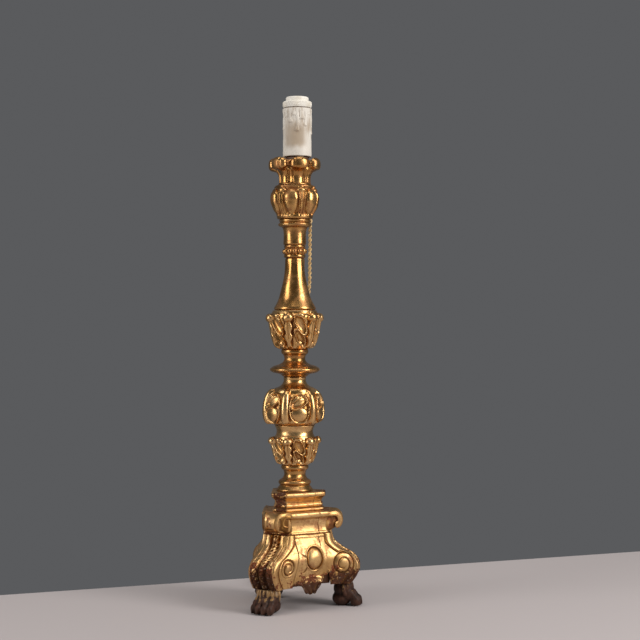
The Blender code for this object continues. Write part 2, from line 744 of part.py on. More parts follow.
def make_plinth(material, parent, spigot_hole):
    step, step_corner = PLINTH_STEP, PLINTH_STEP_CORNER
    waist, waist_corner = PLINTH_WAIST, PLINTH_WAIST_CORNER
    lip, lip_corner = PLINTH_LIP, PLINTH_LIP_CORNER
    bead, bead_corner = between(waist, step, 0.4), between(waist_corner, step_corner, 0.4)
    levels = (
        (step, step_corner, 0.0),
        (step, step_corner, 0.14),
        (waist, waist_corner, 0.2),
        (bead, bead_corner, 0.25),
        (bead, bead_corner, 0.38),
        (waist, waist_corner, 0.43),
        (between(waist, lip, 0.2), between(waist_corner, lip_corner, 0.2), 0.58),
        (between(waist, lip, 0.6), between(waist_corner, lip_corner, 0.6), 0.7),
        (lip, lip_corner, 0.79),
        (lip, lip_corner, 0.95),
        (lip - 1 * MM, lip_corner - 1 * MM, 1.0),
    )
    rings = [canted_triangle(face, corner, share * PLINTH_HEIGHT) for face, corner, share in levels]
    plinth = piece("plinth", lofted(rings), material, parent, (0, 0, PLINTH_Z))
    combine(plinth, spigot_hole)


# The stem


def ridges(count, angle):
    """1 on the crest of each of count rounded ridges, 0 in the sharp grooves between them."""
    return abs(math.cos(count * angle / 2))


def place_across(count, angle):
    """How far a point lies from the middle of its leaf or lobe: 0 there, 1 halfway to the next."""
    cell = angle * count / math.tau
    return 2 * abs(cell - round(cell))


def strap(count, angle):
    """1 on the straps halfway between the middles of count leaves, 0 in the leaves."""
    return eased((place_across(count, angle) - 0.5) / 0.25)


def make_stem_foot(material, parent, spigot_length):
    h = STEM_FOOT_HEIGHT
    outline = [
        (STEM_FOOT_RADIUS, 0),
        (STEM_FOOT_RING - 1.0 * MM, 0.2 * h),
        (STEM_FOOT_RING - 1.8 * MM, 0.23 * h),
        (STEM_FOOT_RING - 1.8 * MM, 0.43 * h, 1.8 * MM),
        (STEM_FOOT_NECK + 2.0 * MM, 0.47 * h),
        (STEM_FOOT_NECK, 0.62 * h),
        (STEM_FOOT_NECK + 1.2 * MM, 0.8 * h),
        (COLLAR_RADIUS - 0.6 * MM, 0.85 * h),
        (COLLAR_RADIUS - 0.6 * MM, h, 0.6 * MM),
    ]
    section("stem_foot", outline, STEM_FOOT_Z, material, parent, tenon=(SPIGOT_RADIUS, spigot_length))


def calyx_leaf(radius, share, angle):
    """The carved wall of a calyx: straps stand out and roll over at their tips, the leaves between are hollow."""
    raised = strap(CALYX_LEAVES, angle)
    hollow = LEAF_GROOVE * eased(share / 0.15) * eased((1.04 - share) / 0.1)
    rim = 0.3 * eased(place_across(CALYX_LEAVES, angle) / 0.4)
    roll = LEAF_ROLL * eased((share - 0.72) / 0.16) * eased((1.04 - share) / 0.1)
    return radius + roll * between(0.3, 1.0, raised) - hollow * (1 - rim) * (1 - raised)


def make_lower_calyx(material, parent):
    h, foot, tips, neck = LOWER_CALYX_HEIGHT, LOWER_CALYX_FOOT, LOWER_CALYX_TIPS, LOWER_CALYX_NECK
    outline = [
        (foot, 0),
        (between(foot, tips, 0.25), 0.09 * h),
        (between(foot, tips, 0.53), 0.2 * h),
        (between(foot, tips, 0.74), 0.35 * h),
        (between(foot, tips, 0.9), 0.5 * h),
        (tips, 0.6 * h),
        (between(foot, tips, 0.93), 0.66 * h),
        (between(neck, tips, 0.4), 0.71 * h),
        (neck, 0.8 * h),
        (neck, 0.88 * h),
        (neck + CALYX_FLARE, h),
    ]

    def leaves(radius, z, angle):
        return calyx_leaf(radius, z / (0.7 * h), angle)

    section(
        "lower_calyx", outline, LOWER_CALYX_Z, material, parent,
        turn=LOWER_CALYX_TURN, carve=leaves, sides=CARVED_SIDES,
    )


def make_leaf_knop(material, parent):
    h, widest, foot, neck = LEAF_KNOP_HEIGHT, LEAF_KNOP_RADIUS, LEAF_KNOP_FOOT, LEAF_KNOP_NECK
    outline = [
        (foot, 0),
        (between(foot, widest, 0.55), 0.045 * h),
        (between(foot, widest, 0.9), 0.135 * h),
        (widest, 0.28 * h),
        (between(neck, widest, 0.95), 0.44 * h),
        (between(neck, widest, 0.87), 0.58 * h),
        (between(neck, widest, 0.7), 0.69 * h),
        (between(neck, widest, 0.36), 0.78 * h),
        (between(neck, widest, 0.1), 0.84 * h),
        (neck, 0.93 * h),
        (neck + 1.0 * MM, h),
    ]

    def leaves(radius, z, angle):
        body = eased(z / (0.05 * h)) * eased((0.78 * h - z) / (0.1 * h))
        raised = strap(KNOP_LEAVES, angle)
        bulb = eased((0.48 - z / h) / 0.12) * (1 - place_across(KNOP_LEAVES, angle))
        return radius - LEAF_KNOP_GROOVE * body * (1 - raised) * (1 - 1.2 * bulb)

    section(
        "leaf_knop", outline, LEAF_KNOP_Z, material, parent,
        turn=LEAF_KNOP_TURN, carve=leaves, sides=CARVED_SIDES,
    )


def make_disc(material, parent):
    h, neck = DISC_HEIGHT, DISC_NECK
    outline = [
        (neck + 2.0 * MM, 0),
        (between(neck, DISC_RADIUS, 0.36), 0.09 * h),
        (between(neck, DISC_RADIUS, 0.82), 0.15 * h),
        (between(neck, DISC_RADIUS, 0.82), 0.37 * h, 0.18 * (DISC_RADIUS - neck)),
        (between(neck, DISC_RADIUS, 0.36), 0.45 * h),
        (neck + 2.0 * MM, 0.5 * h),
        (neck, 0.66 * h),
        (neck + 1.2 * MM, 0.8 * h),
        (COLLAR_RADIUS - 0.8 * MM, 0.84 * h),
        (COLLAR_RADIUS - 0.8 * MM, h, 0.8 * MM),
    ]
    section("disc_collar", outline, DISC_Z, material, parent)


def make_upper_calyx(material, parent):
    h, foot, tips, top = UPPER_CALYX_HEIGHT, UPPER_CALYX_FOOT, UPPER_CALYX_TIPS, UPPER_CALYX_TOP
    outline = [
        (foot, 0),
        (between(foot, tips, 0.3), 0.09 * h),
        (between(foot, tips, 0.46), 0.19 * h),
        (between(foot, tips, 0.63), 0.35 * h),
        (between(foot, tips, 0.76), 0.55 * h),
        (between(foot, tips, 0.88), 0.7 * h),
        (tips, 0.81 * h),
        (between(foot, tips, 0.97), 0.88 * h),
        (between(top, tips, 0.4), 0.94 * h),
        (top, h),
    ]

    def leaves(radius, z, angle):
        return calyx_leaf(radius, z / (0.92 * h), angle)

    section(
        "upper_calyx", outline, UPPER_CALYX_Z, material, parent,
        turn=UPPER_CALYX_TURN, carve=leaves, sides=CARVED_SIDES,
    )


def make_shaft(material, parent):
    h, flare, thin = SHAFT_HEIGHT, SHAFT_FLARE, SHAFT_RADIUS
    outline = [
        (flare - 0.9 * MM, 0),
        (flare, 0.03 * h),
        (between(thin, flare, 0.8), 0.11 * h),
        (between(thin, flare, 0.62), 0.19 * h),
        (between(thin, flare, 0.51), 0.26 * h),
        (between(thin, flare, 0.35), 0.38 * h),
        (between(thin, flare, 0.15), 0.57 * h),
        (thin, 0.75 * h),
        (thin, h),
    ]
    section("shaft", outline, SHAFT_Z, material, parent)


def make_bead_ring(material, parent):
    h, fillet, bead = BEAD_RING_HEIGHT, BEAD_RING_RADIUS, BEAD_RADIUS
    outline = [
        (fillet, 0),
        (fillet, 0.24 * h),
        (fillet - 0.5 * MM, 0.29 * h),
        (between(fillet, bead, 0.7), 0.38 * h),
        (bead, 0.52 * h),
        (between(fillet, bead, 0.7), 0.66 * h),
        (fillet - 0.5 * MM, 0.75 * h),
        (fillet, 0.8 * h),
        (fillet, h),
    ]

    def beads(radius, z, angle):
        depth = (bead - fillet + 0.5 * MM) * eased((z / h - 0.29) / 0.12) * eased((0.75 - z / h) / 0.12)
        return radius - depth * (1 - ridges(BEADS, angle))

    section("bead_ring", outline, BEAD_RING_Z, material, parent, carve=beads)


def make_neck(material, parent):
    h, neck, collar = NECK_HEIGHT, NECK_RADIUS, NECK_COLLAR
    outline = [
        (neck, 0),
        (neck, 0.5 * h),
        (neck + 1.2 * MM, 0.65 * h),
        (neck + NECK_COVE, 0.71 * h),
        (collar - 1.6 * MM, 0.72 * h),
        (collar - 1.6 * MM, 0.87 * h, 1.6 * MM),
        (collar - 1.8 * MM, h, 1.3 * MM),
    ]
    section("neck_collar", outline, NECK_Z, material, parent)


def lead_path():
    """From under the contact block down the lamp's axis, round the bend and out to the bush's mouth."""
    away = math.cos(EXIT_DIP)
    out = Vector((math.cos(EXIT_ANGLE) * away, math.sin(EXIT_ANGLE) * away, -math.sin(EXIT_DIP)))
    turn_point = Vector((LAMP_OFFSET, 0, EXIT_TURN_Z))
    sweep = math.pi / 2 - EXIT_DIP
    setback = LEAD_BEND * math.tan(sweep / 2)
    level = Vector((out.x, out.y, 0)).normalized()
    centre = turn_point + Vector((0, 0, setback)) + level * LEAD_BEND
    points = [Vector((LAMP_OFFSET, 0, BLOCK_Z - FIT))]
    for k in range(7):
        angle = sweep * k / 6
        down = Vector((0, 0, LEAD_BEND * math.sin(angle)))
        points.append(centre - level * LEAD_BEND * math.cos(angle) - down)
    points.append(turn_point + out * BUSH_END)
    return points, turn_point, out


def make_gadroon_knop(material, parent):
    h, widest, foot, top = GADROON_HEIGHT, GADROON_RADIUS, GADROON_FOOT, GADROON_TOP
    outline = [
        (foot, 0),
        (between(foot, widest, 0.25), 0.08 * h),
        (between(foot, widest, 0.63), 0.26 * h),
        (between(foot, widest, 0.92), 0.45 * h),
        (widest, 0.63 * h),
        (between(top, widest, 0.82), 0.8 * h),
        (between(top, widest, 0.35), 0.92 * h),
        (top, h),
    ]

    def lobes(radius, z, angle):
        depth = GADROON_GROOVE * eased(z / (0.3 * h)) * eased((1.08 * h - z) / (0.3 * h))
        gap = place_across(GADROONS, angle)
        return radius - depth * between(0.8 * gap, 1.0, eased((gap - 0.4) / 0.4))

    knop = section(
        "gadroon_knop", outline, GADROON_Z, material, parent,
        socket=(CUP_TENON_RADIUS, CUP_TENON_LENGTH), turn=GADROON_TURN, carve=lobes, sides=CARVED_SIDES,
    )
    _, turn_point, out = lead_path()
    drop = CUP_Z - EXIT_TURN_Z
    foot = -LEAD_HOLE / 2
    down = [(0, foot), (LEAD_HOLE, foot), (LEAD_HOLE, drop), (0, drop)]
    combine(knop, cutter("lead_hole_down", spun(down, PLAIN_SIDES // 2), parent, turn_point))
    far = 1.5 * BUSH_END
    side = [(0, -1 * MM), (LEAD_HOLE, -1 * MM), (LEAD_HOLE, far), (0, far)]
    hole = cutter("lead_hole_out", spun(side, PLAIN_SIDES // 2), parent, turn_point)
    hole.rotation_euler = out.to_track_quat("Z", "Y").to_euler()
    combine(knop, hole)


def make_cup(material, parent):
    h, waist, rim = CUP_HEIGHT, CUP_WAIST, CUP_RIM
    outline = [
        (waist + 0.8 * MM, 0),
        (waist + 0.4 * MM, 0.1 * h),
        (waist, 0.28 * h),
        (between(waist, rim, 0.2), 0.48 * h),
        (between(waist, rim, 0.5), 0.58 * h),
        (between(waist, rim, 0.82), 0.61 * h),
        (rim, 0.8 * h),
        (between(CUP_MOUTH, rim, 0.6), h, 1.6 * MM),
        (between(CUP_MOUTH, rim, 0.25), 0.97 * h),
        (CUP_MOUTH, CUP_FLOOR),
    ]

    def lobes(radius, z, angle):
        groove = CUP_LOBE_DEPTH * eased((z / h - 0.45) / 0.15) * eased((radius - CUP_MOUTH) / (2 * MM))
        flute = 1.0 * MM * eased((z / h) / 0.1) * eased((0.6 - z / h) / 0.1)
        return radius - (groove + flute) * eased((place_across(CUP_LOBES, angle) - 0.4) / 0.5)

    foot = [(0, -CUP_TENON_LENGTH), (CUP_TENON_RADIUS, -CUP_TENON_LENGTH), (CUP_TENON_RADIUS, 0)]
    shape = spun(foot + outline + [(0, CUP_FLOOR)], CARVED_SIDES, carve=lobes)
    cup = piece("cup", shape, material, parent, (0, 0, CUP_Z), CUP_TURN)
    step = PLUG_Z - PLUG_SPIGOT_LENGTH - FIT
    bore = spun(
        [
            (0, CUP_Z - 2 * CUP_TENON_LENGTH),
            (LEAD_HOLE, CUP_Z - 2 * CUP_TENON_LENGTH),
            (LEAD_HOLE, PIPE_FOOT_Z - FIT),
            (PIPE_RADIUS + FIT, PIPE_FOOT_Z - FIT),
            (PIPE_RADIUS + FIT, step),
            (PLUG_SPIGOT_RADIUS + FIT, step),
            (PLUG_SPIGOT_RADIUS + FIT, CUP_Z + CUP_HEIGHT),
            (0, CUP_Z + CUP_HEIGHT),
        ],
        PLAIN_SIDES,
    )
    combine(cup, cutter("cup_bore", bore, parent, (LAMP_OFFSET, 0, 0)))


# The lamp fitting, on the lamp's axis


def make_cup_plug(material, lamp):
    hole = PIPE_RADIUS + FIT
    outline = [
        (hole, -PLUG_SPIGOT_LENGTH),
        (PLUG_SPIGOT_RADIUS, -PLUG_SPIGOT_LENGTH),
        (PLUG_SPIGOT_RADIUS, 0),
        (PLUG_RADIUS, 0),
        (PLUG_RADIUS, PLUG_HEIGHT),
        (hole, PLUG_HEIGHT),
    ]
    piece("cup_plug", spun(outline, LAMP_SIDES, closed=True), material, lamp, (0, 0, PLUG_Z))


def make_pipe(steel, lamp):
    top = HOLDER_CAP_Z + HOLDER_CAP_FLOOR - FIT
    outline = [(PIPE_BORE, PIPE_FOOT_Z), (PIPE_RADIUS, PIPE_FOOT_Z), (PIPE_RADIUS, top), (PIPE_BORE, top)]
    piece("lamp_pipe", spun(outline, LAMP_SIDES, closed=True), steel, lamp)
    hole = PIPE_RADIUS + FIT
    ring = [(hole, 0), (WASHER_RADIUS, 0), (WASHER_RADIUS, WASHER_THICKNESS), (hole, WASHER_THICKNESS)]
    piece("pipe_washer", spun(ring, LAMP_SIDES, closed=True), steel, lamp, (0, 0, WASHER_Z))
    flat = NUT_ACROSS_FLATS / 2
    ring = [(hole, 0), (flat, 0), (flat, NUT_HEIGHT), (hole, NUT_HEIGHT)]
    nut = spun(ring, PLAIN_SIDES // 2, closed=True)
    for vert in nut.verts:
        radius = math.hypot(vert.co.x, vert.co.y)
        if radius > (hole + flat) / 2:
            off_flat = (math.atan2(vert.co.y, vert.co.x) + math.pi / 6) % (math.pi / 3) - math.pi / 6
            vert.co.x /= math.cos(off_flat)
            vert.co.y /= math.cos(off_flat)
    piece("pipe_nut", nut, steel, lamp, (0, 0, NUT_Z))


def make_holder(white, lamp):
    hole = PIPE_RADIUS + FIT
    cap = [
        (hole, 0),
        (HUB_RADIUS, 0),
        (HUB_RADIUS, HUB_HEIGHT),
        (HOLDER_RADIUS, HUB_HEIGHT + HUB_SLOPE),
        (HOLDER_RADIUS, HOLDER_CAP_HEIGHT),
        (HOLDER_BORE, HOLDER_CAP_HEIGHT),
        (HOLDER_BORE, HOLDER_CAP_FLOOR),
        (hole, HOLDER_CAP_FLOOR),
    ]
    piece("holder_cap", spun(cap, LAMP_SIDES, closed=True), white, lamp, (0, 0, HOLDER_CAP_Z))
    ledge = BLOCK_LIFT + BLOCK_HEIGHT + FIT
    shoulder = HOLDER_SHELL_HEIGHT - THREAD_HEIGHT
    shell = [
        (BLOCK_BORE, -HOLDER_SPIGOT_LENGTH),
        (HOLDER_BORE - FIT, -HOLDER_SPIGOT_LENGTH),
        (HOLDER_BORE - FIT, 0),
        (HOLDER_RADIUS, 0),
        (HOLDER_RADIUS, shoulder),
        (THREAD_RADIUS, shoulder),
        (THREAD_RADIUS, HOLDER_SHELL_HEIGHT - 1 * MM),
        (THREAD_RADIUS - 1 * MM, HOLDER_SHELL_HEIGHT),
        (SCREW_RADIUS + FIT + 1 * MM, HOLDER_SHELL_HEIGHT),
        (SCREW_RADIUS + FIT, HOLDER_SHELL_HEIGHT - 1 * MM),
        (SCREW_RADIUS + FIT, ledge),
        (BLOCK_BORE, ledge),
    ]
    piece("holder_shell", spun(shell, LAMP_SIDES, closed=True), white, lamp, (0, 0, HOLDER_SHELL_Z))


def make_contacts(brass, ceramic, lamp):
    outline = [(0, 0), (BLOCK_RADIUS, 0), (BLOCK_RADIUS, BLOCK_HEIGHT), (0, BLOCK_HEIGHT)]
    block = piece("contact_block", spun(outline, LAMP_SIDES), ceramic, lamp, (0, 0, BLOCK_Z))
    for number, side in enumerate((-1, 1), start=1):
        place = (side * TERMINAL_REACH, 0, BLOCK_Z)
        shank, deep = TERMINAL_SHANK_RADIUS, TERMINAL_SHANK_LENGTH
        hole = [(0, -1 * MM), (shank + FIT, -1 * MM), (shank + FIT, deep + FIT), (0, deep + FIT)]
        combine(block, cutter(f"terminal_hole_{number}", spun(hole, PLAIN_SIDES // 2), lamp, place))
        head = -FIT - TERMINAL_HEAD_HEIGHT
        screw = [(0, head), (TERMINAL_HEAD_RADIUS, head), (TERMINAL_HEAD_RADIUS, -FIT), (shank, -FIT),
                 (shank, deep), (0, deep)]
        piece(f"terminal_screw_{number}", spun(screw, PLAIN_SIDES // 2), brass, lamp, place)
    foot = BLOCK_TOP_Z + FIT
    sleeve = [(SCREW_BORE, 0), (SCREW_RADIUS, 0), (SCREW_RADIUS, SCREW_HEIGHT), (SCREW_BORE, SCREW_HEIGHT)]
    piece("screw_contact", spun(sleeve, LAMP_SIDES, closed=True), brass, lamp, (0, 0, foot))
    t = TONGUE_THICKNESS
    strip = ((0, 0), (0.2, 0), (0.85, 1.0), (1.0, 1.0))
    low = [(place * TONGUE_LENGTH, rise * TONGUE_RISE) for place, rise in strip]
    profile = low + [(x, z + t) for x, z in reversed(low)]
    sides = [[Vector((x, y, z)) for x, z in profile] for y in (-TONGUE_WIDTH / 2, TONGUE_WIDTH / 2)]
    piece("centre_contact", lofted(sides), brass, lamp, (-TONGUE_ROOT, 0, foot))


def make_sleeve(wax, lamp):
    foot = SLEEVE_LIP - SLEEVE_HEIGHT
    outline = [
        (SLEEVE_BORE, foot),
        (SLEEVE_RADIUS, foot),
        (SLEEVE_RADIUS, SLEEVE_LIP - 0.8 * MM),
        (SLEEVE_RADIUS - 0.8 * MM, SLEEVE_LIP),
        (THREAD_BORE, SLEEVE_LIP),
        (THREAD_BORE, 0),
        (SLEEVE_BORE, 0),
    ]
    piece("candle_sleeve", spun(outline, PLAIN_SIDES, closed=True), wax, lamp, (0, 0, SHOULDER_Z + FIT))


def make_shade_ring(white, lamp):
    h = RING_HEIGHT
    outline = [
        (THREAD_BORE, 0),
        (RING_RADIUS - 0.9 * MM, 0),
        (RING_RADIUS - 0.4 * MM, 0.12 * h),
        (RING_RADIUS - 0.4 * MM, 0.25 * h),
        (RING_RADIUS, 0.3 * h),
        (RING_RADIUS, 0.84 * h),
        (RING_RADIUS - 1.0 * MM, h),
        (THREAD_BORE, h),
    ]

    def ribs(radius, z, angle):
        cut = RING_RIB if 0.28 * h < z < 0.9 * h and radius > RING_RADIUS - 0.2 * MM else 0.0
        return radius - cut * (1 - ridges(RING_RIBS, angle))

    shape = spun(outline, 2 * RING_RIBS, closed=True, carve=ribs)
    piece("shade_ring", shape, white, lamp, (0, 0, RING_Z))


# The cord and what is on it


def make_inner_lead(flex, fibre, parent):
    points, turn_point, out = lead_path()
    tube("inner_lead", points, flex, parent, 2)
    bore = CORD_RADIUS + FIT
    outline = [(bore, -BUSH_LENGTH), (bore + BUSH_WALL, -BUSH_LENGTH), (bore + BUSH_WALL, 0), (bore, 0)]
    bush = piece("cord_bush", spun(outline, PLAIN_SIDES // 2, closed=True), fibre, parent, points[-1])
    bush.rotation_euler = out.to_track_quat("Z", "Y").to_euler()
    return points[-1], out


def coil_points():
    """Two flat layers: in from the outside, up a layer while the spiral turns back, and out again."""
    centre = Vector((*COIL_CENTRE, 0))
    points = []
    for k in range(round((2 * COIL_TURNS + 0.5) * COIL_LOOP_POINTS) + 1):
        turns = k / COIL_LOOP_POINTS
        back = turns - COIL_TURNS
        if back <= 0:
            radius, z = COIL_OUTER - COIL_PITCH * turns, COIL_LOW_Z
        elif back <= 0.5:
            radius = COIL_INNER - COIL_PITCH * back + 2 * COIL_PITCH * back**2
            z = between(COIL_LOW_Z, COIL_HIGH_Z, eased(2 * back))
        else:
            radius, z = COIL_INNER + COIL_PITCH * (back - 0.5), COIL_HIGH_Z
        angle = math.tau * turns
        points.append(centre + Vector((radius * math.cos(angle), radius * math.sin(angle), z)))
    first = (points[0] - points[1]).normalized() * CORD_DIAMETER
    last = (points[-1] - points[-2]).normalized() * CORD_DIAMETER
    return [points[0] + first, *points, points[-1] + last]


def least_gap(points, thickness, apart):
    """Smallest space between stretches of a tube that lie at least apart points from each other."""
    gaps = []
    for i, a in enumerate(points):
        for j in range(i + round(apart), len(points) - 1):
            b, c = points[j], points[j + 1]
            share = max(0.0, min(1.0, (a - b).dot(c - b) / (c - b).length_squared))
            gaps.append((a - b.lerp(c, share)).length - thickness)
    return min(gaps)


def make_cords(flex, parent, exit_point, out):
    coil = coil_points()
    heading = (coil[1] - coil[0]).normalized()
    start = exit_point + out * FIT
    end = coil[0] - heading * FIT
    marks = [Vector(point) * MM for point in CORD_ROUTE]
    lead_out = [start + out * CORD_DIAMETER, start + out * 2 * CORD_DIAMETER]
    lead_in = [end - heading * 3 * CORD_DIAMETER, end - heading * CORD_DIAMETER]
    run = [start, *smooth_route(lead_out + marks + lead_in, TUBE_STEP * CORD_DIAMETER), end]
    tube("cord_run", run, flex, parent, 2)
    tube("cord_coil", coil, flex, parent, 1)

    leaving = (coil[-1] - coil[-2]).normalized()
    tail_start = coil[-1] + leaving * FIT
    plug_x = tail_start.x + 2 * TAIL_BEND
    plug_y = COIL_CENTRE[1] - TAIL_REACH
    tail_end = Vector((plug_x, plug_y - FIT, PLUG_AXIS_Z))
    turn_y = plug_y - TAIL_TURN
    arc = []
    for k in range(7):
        angle = math.pi + math.pi * k / 6
        height = between(tail_start.z, PLUG_AXIS_Z, eased(0.2 + 0.8 * k / 6))
        x = tail_start.x + TAIL_BEND + TAIL_BEND * math.cos(angle)
        arc.append(Vector((x, turn_y + TAIL_BEND * math.sin(angle) * 0.8, height)))
    tail_out = [tail_start + leaving * CORD_DIAMETER]
    tail_in = [tail_end - Vector((0, CORD_DIAMETER, 0))]
    tail = [tail_start, *smooth_route(tail_out + arc + tail_in, TUBE_STEP * CORD_DIAMETER), tail_end]
    tube("cord_tail", tail, flex, parent, 2)

    gap = least_gap(coil, CORD_DIAMETER, COIL_LOOP_POINTS // 2)
    print("coil: least gap to itself", round(gap / MM, 2), "mm")
    print("cord length outside the stem", round(length_of(run) + length_of(coil) + length_of(tail), 3), "m")
    return tail_end


def rounded_box(half_width, half_height, radius, z):
    """Twenty points round a box with rounded corners, in a level plane."""
    points = []
    for corner in range(4):
        middle = math.pi / 4 + corner * math.pi / 2
        x = math.copysign(half_width - radius, math.cos(middle))
        y = math.copysign(half_height - radius, math.sin(middle))
        for k in range(5):
            angle = middle + math.pi / 8 * (k - 2)
            points.append(Vector((x + radius * math.cos(angle), y + radius * math.sin(angle), z)))
    return points


def make_coil_tie(fibre, parent):
    half_width = (COIL_OUTER - COIL_INNER) / 2 + COIL_PITCH / 8 + CORD_RADIUS + FIT
    half_height = COIL_PITCH / 2 + CORD_RADIUS + FIT
    inside = (half_width, half_height, CORD_RADIUS)
    outside = tuple(size + TIE_THICKNESS for size in inside)
    half = TIE_WIDTH / 2
    rings = [rounded_box(*outside, -half), rounded_box(*outside, half), rounded_box(*inside, half),
             rounded_box(*inside, -half)]
    tie = piece("coil_tie", lofted(rings, around=True), fibre, parent)
    middle = COIL_MEAN_RADIUS - COIL_PITCH / 16
    tie.location = (
        COIL_CENTRE[0] + middle * math.cos(TIE_ANGLE),
        COIL_CENTRE[1] + middle * math.sin(TIE_ANGLE),
        (COIL_LOW_Z + COIL_HIGH_Z) / 2,
    )
    tie.rotation_euler = (math.pi / 2, 0, TIE_ANGLE)


def make_plug(rubber, steel, parent, tail_end):
    """The plug lies along +Y, away from the base."""
    axis = empty("plug_axis", parent, tail_end + Vector((0, FIT, 0)))
    axis.rotation_euler.x = -math.pi / 2
    sleeve = [
        (0, 0),
        (CORD_RADIUS + 1.0 * MM, 0),
        (PLUG_SLEEVE_RADIUS, PLUG_SLEEVE_LENGTH),
        (0, PLUG_SLEEVE_LENGTH),
    ]
    piece("plug_sleeve", spun(sleeve, PLAIN_SIDES // 2), rubber, axis)
    body_z = PLUG_SLEEVE_LENGTH + FIT
    stations = ((0.0, 0.0), (0.12, 0.15), (0.45, 0.85), (0.6, 1.0), (0.96, 1.0), (1.0, 0.95))
    rings = []
    for share, spread in stations:
        half_width = between(PLUG_REAR_WIDTH, PLUG_BODY_WIDTH, spread) / 2
        half_depth = between(PLUG_REAR_DEPTH, PLUG_BODY_DEPTH, spread) / 2
        rings.append(rounded_box(half_width, half_depth, 0.8 * half_depth, share * PLUG_BODY_LENGTH))
    piece("plug_body", lofted(rings), rubber, axis, (0, 0, body_z))
    pin_z = body_z + PLUG_BODY_LENGTH + FIT
    for number, side in enumerate((-1, 1), start=1):
        pin = [
            (0, 0),
            (PLUG_PIN_RADIUS, 0),
            (PLUG_PIN_RADIUS, PLUG_PIN_LENGTH - PLUG_PIN_RADIUS),
            (0.3 * PLUG_PIN_RADIUS, PLUG_PIN_LENGTH, 0.3 * PLUG_PIN_RADIUS),
            (0, PLUG_PIN_LENGTH),
        ]
        place = (side * PLUG_PIN_SPACING / 2, 0, pin_z)
        piece(f"plug_pin_{number}", spun(pin, PLAIN_SIDES // 2), steel, axis, place)


def stand_on_origin(root, cords):
    """Moves the stem's axis so that the origin lies under the middle of the object's box, cord left out."""
    bpy.context.view_layer.update()
    graph = bpy.context.evaluated_depsgraph_get()
    reach = []
    for made in bpy.data.objects:
        if made.type != "MESH" or made.hide_render or made.name.startswith(cords):
            continue
        solid = made.evaluated_get(graph)
        reach += [(solid.matrix_world @ vert.co).x for vert in solid.data.vertices]
    root.location.x = -(min(reach) + max(reach)) / 2
    print("stem axis stands at x", round(root.location.x / MM, 3), "mm")


def main():
    for old in list(bpy.data.objects):
        bpy.data.objects.remove(old, do_unlink=True)
    for old in list(bpy.data.materials):
        bpy.data.materials.remove(old)

    gold = finish("gold_leaf", (0.72, 0.46, 0.14), 0.34, 1.0)
    worn_wood = finish("worn_wood", (0.10, 0.055, 0.035), 0.6)
    bare_wood = finish("bare_wood", (0.42, 0.27, 0.15), 0.6)
    dark_wood = finish("dark_wood", (0.13, 0.06, 0.03), 0.55)
    white = finish("holder_white", (0.74, 0.71, 0.64), 0.45)
    wax = finish("sleeve_wax", (0.78, 0.74, 0.66), 0.5)
    brass = finish("brass", (0.72, 0.55, 0.25), 0.3, 1.0)
    steel = finish("steel", (0.55, 0.55, 0.56), 0.35, 1.0)
    ceramic = finish("ceramic", (0.82, 0.8, 0.76), 0.3)
    flex = finish("flex", (0.68, 0.52, 0.28), 0.4)
    fibre = finish("fibre", (0.22, 0.14, 0.08), 0.6)
    rubber = finish("plug_brown", (0.16, 0.10, 0.07), 0.45)

    root = empty("stem_axis", None, (0, 0, 0))
    lamp = empty("lamp_axis", root, (LAMP_OFFSET, 0, 0))

    spigot_length = PLINTH_HEIGHT + CAP_HEIGHT + SPIGOT_BITE + 3 * FIT
    low = STEM_FOOT_Z - spigot_length - FIT
    high = STEM_FOOT_Z + 1 * MM
    hole = [(0, low), (SPIGOT_RADIUS + FIT, low), (SPIGOT_RADIUS + FIT, high), (0, high)]
    spigot_hole = cutter("spigot_hole", spun(hole, PLAIN_SIDES), root)

    make_feet(gold, worn_wood, bare_wood, root)
    make_body(gold, root, spigot_hole)
    make_scroll_cap(gold, root, spigot_hole)
    make_plinth(gold, root, spigot_hole)

    make_stem_foot(gold, root, spigot_length)
    make_lower_calyx(gold, root)
    make_leaf_knop(gold, root)
    make_disc(gold, root)
    make_upper_calyx(gold, root)
    make_shaft(gold, root)
    make_bead_ring(gold, root)
    make_neck(gold, root)
    make_gadroon_knop(gold, root)
    make_cup(gold, root)

    make_cup_plug(dark_wood, lamp)
    make_pipe(steel, lamp)
    make_holder(white, lamp)
    make_contacts(brass, ceramic, lamp)
    make_sleeve(wax, lamp)
    make_shade_ring(white, lamp)

    exit_point, out = make_inner_lead(flex, fibre, root)
    tail_end = make_cords(flex, root, exit_point, out)
    make_coil_tie(fibre, root)
    make_plug(rubber, steel, root, tail_end)
    stand_on_origin(root, ("coil", "plug_"))


main()
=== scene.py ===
# %% [markdown]
# # A carved and gilded altar candlestick, wired as a lamp
# The solids of the part are loaded as a fixed frame. Every cell below dresses one piece of the real object:
# it builds a finer mesh where the carver's knife shows, gives it a finish, and lets it ride on the body that
# its solid belongs to. Nothing in the frame is moved or resized.

# %% Load the frame
import math

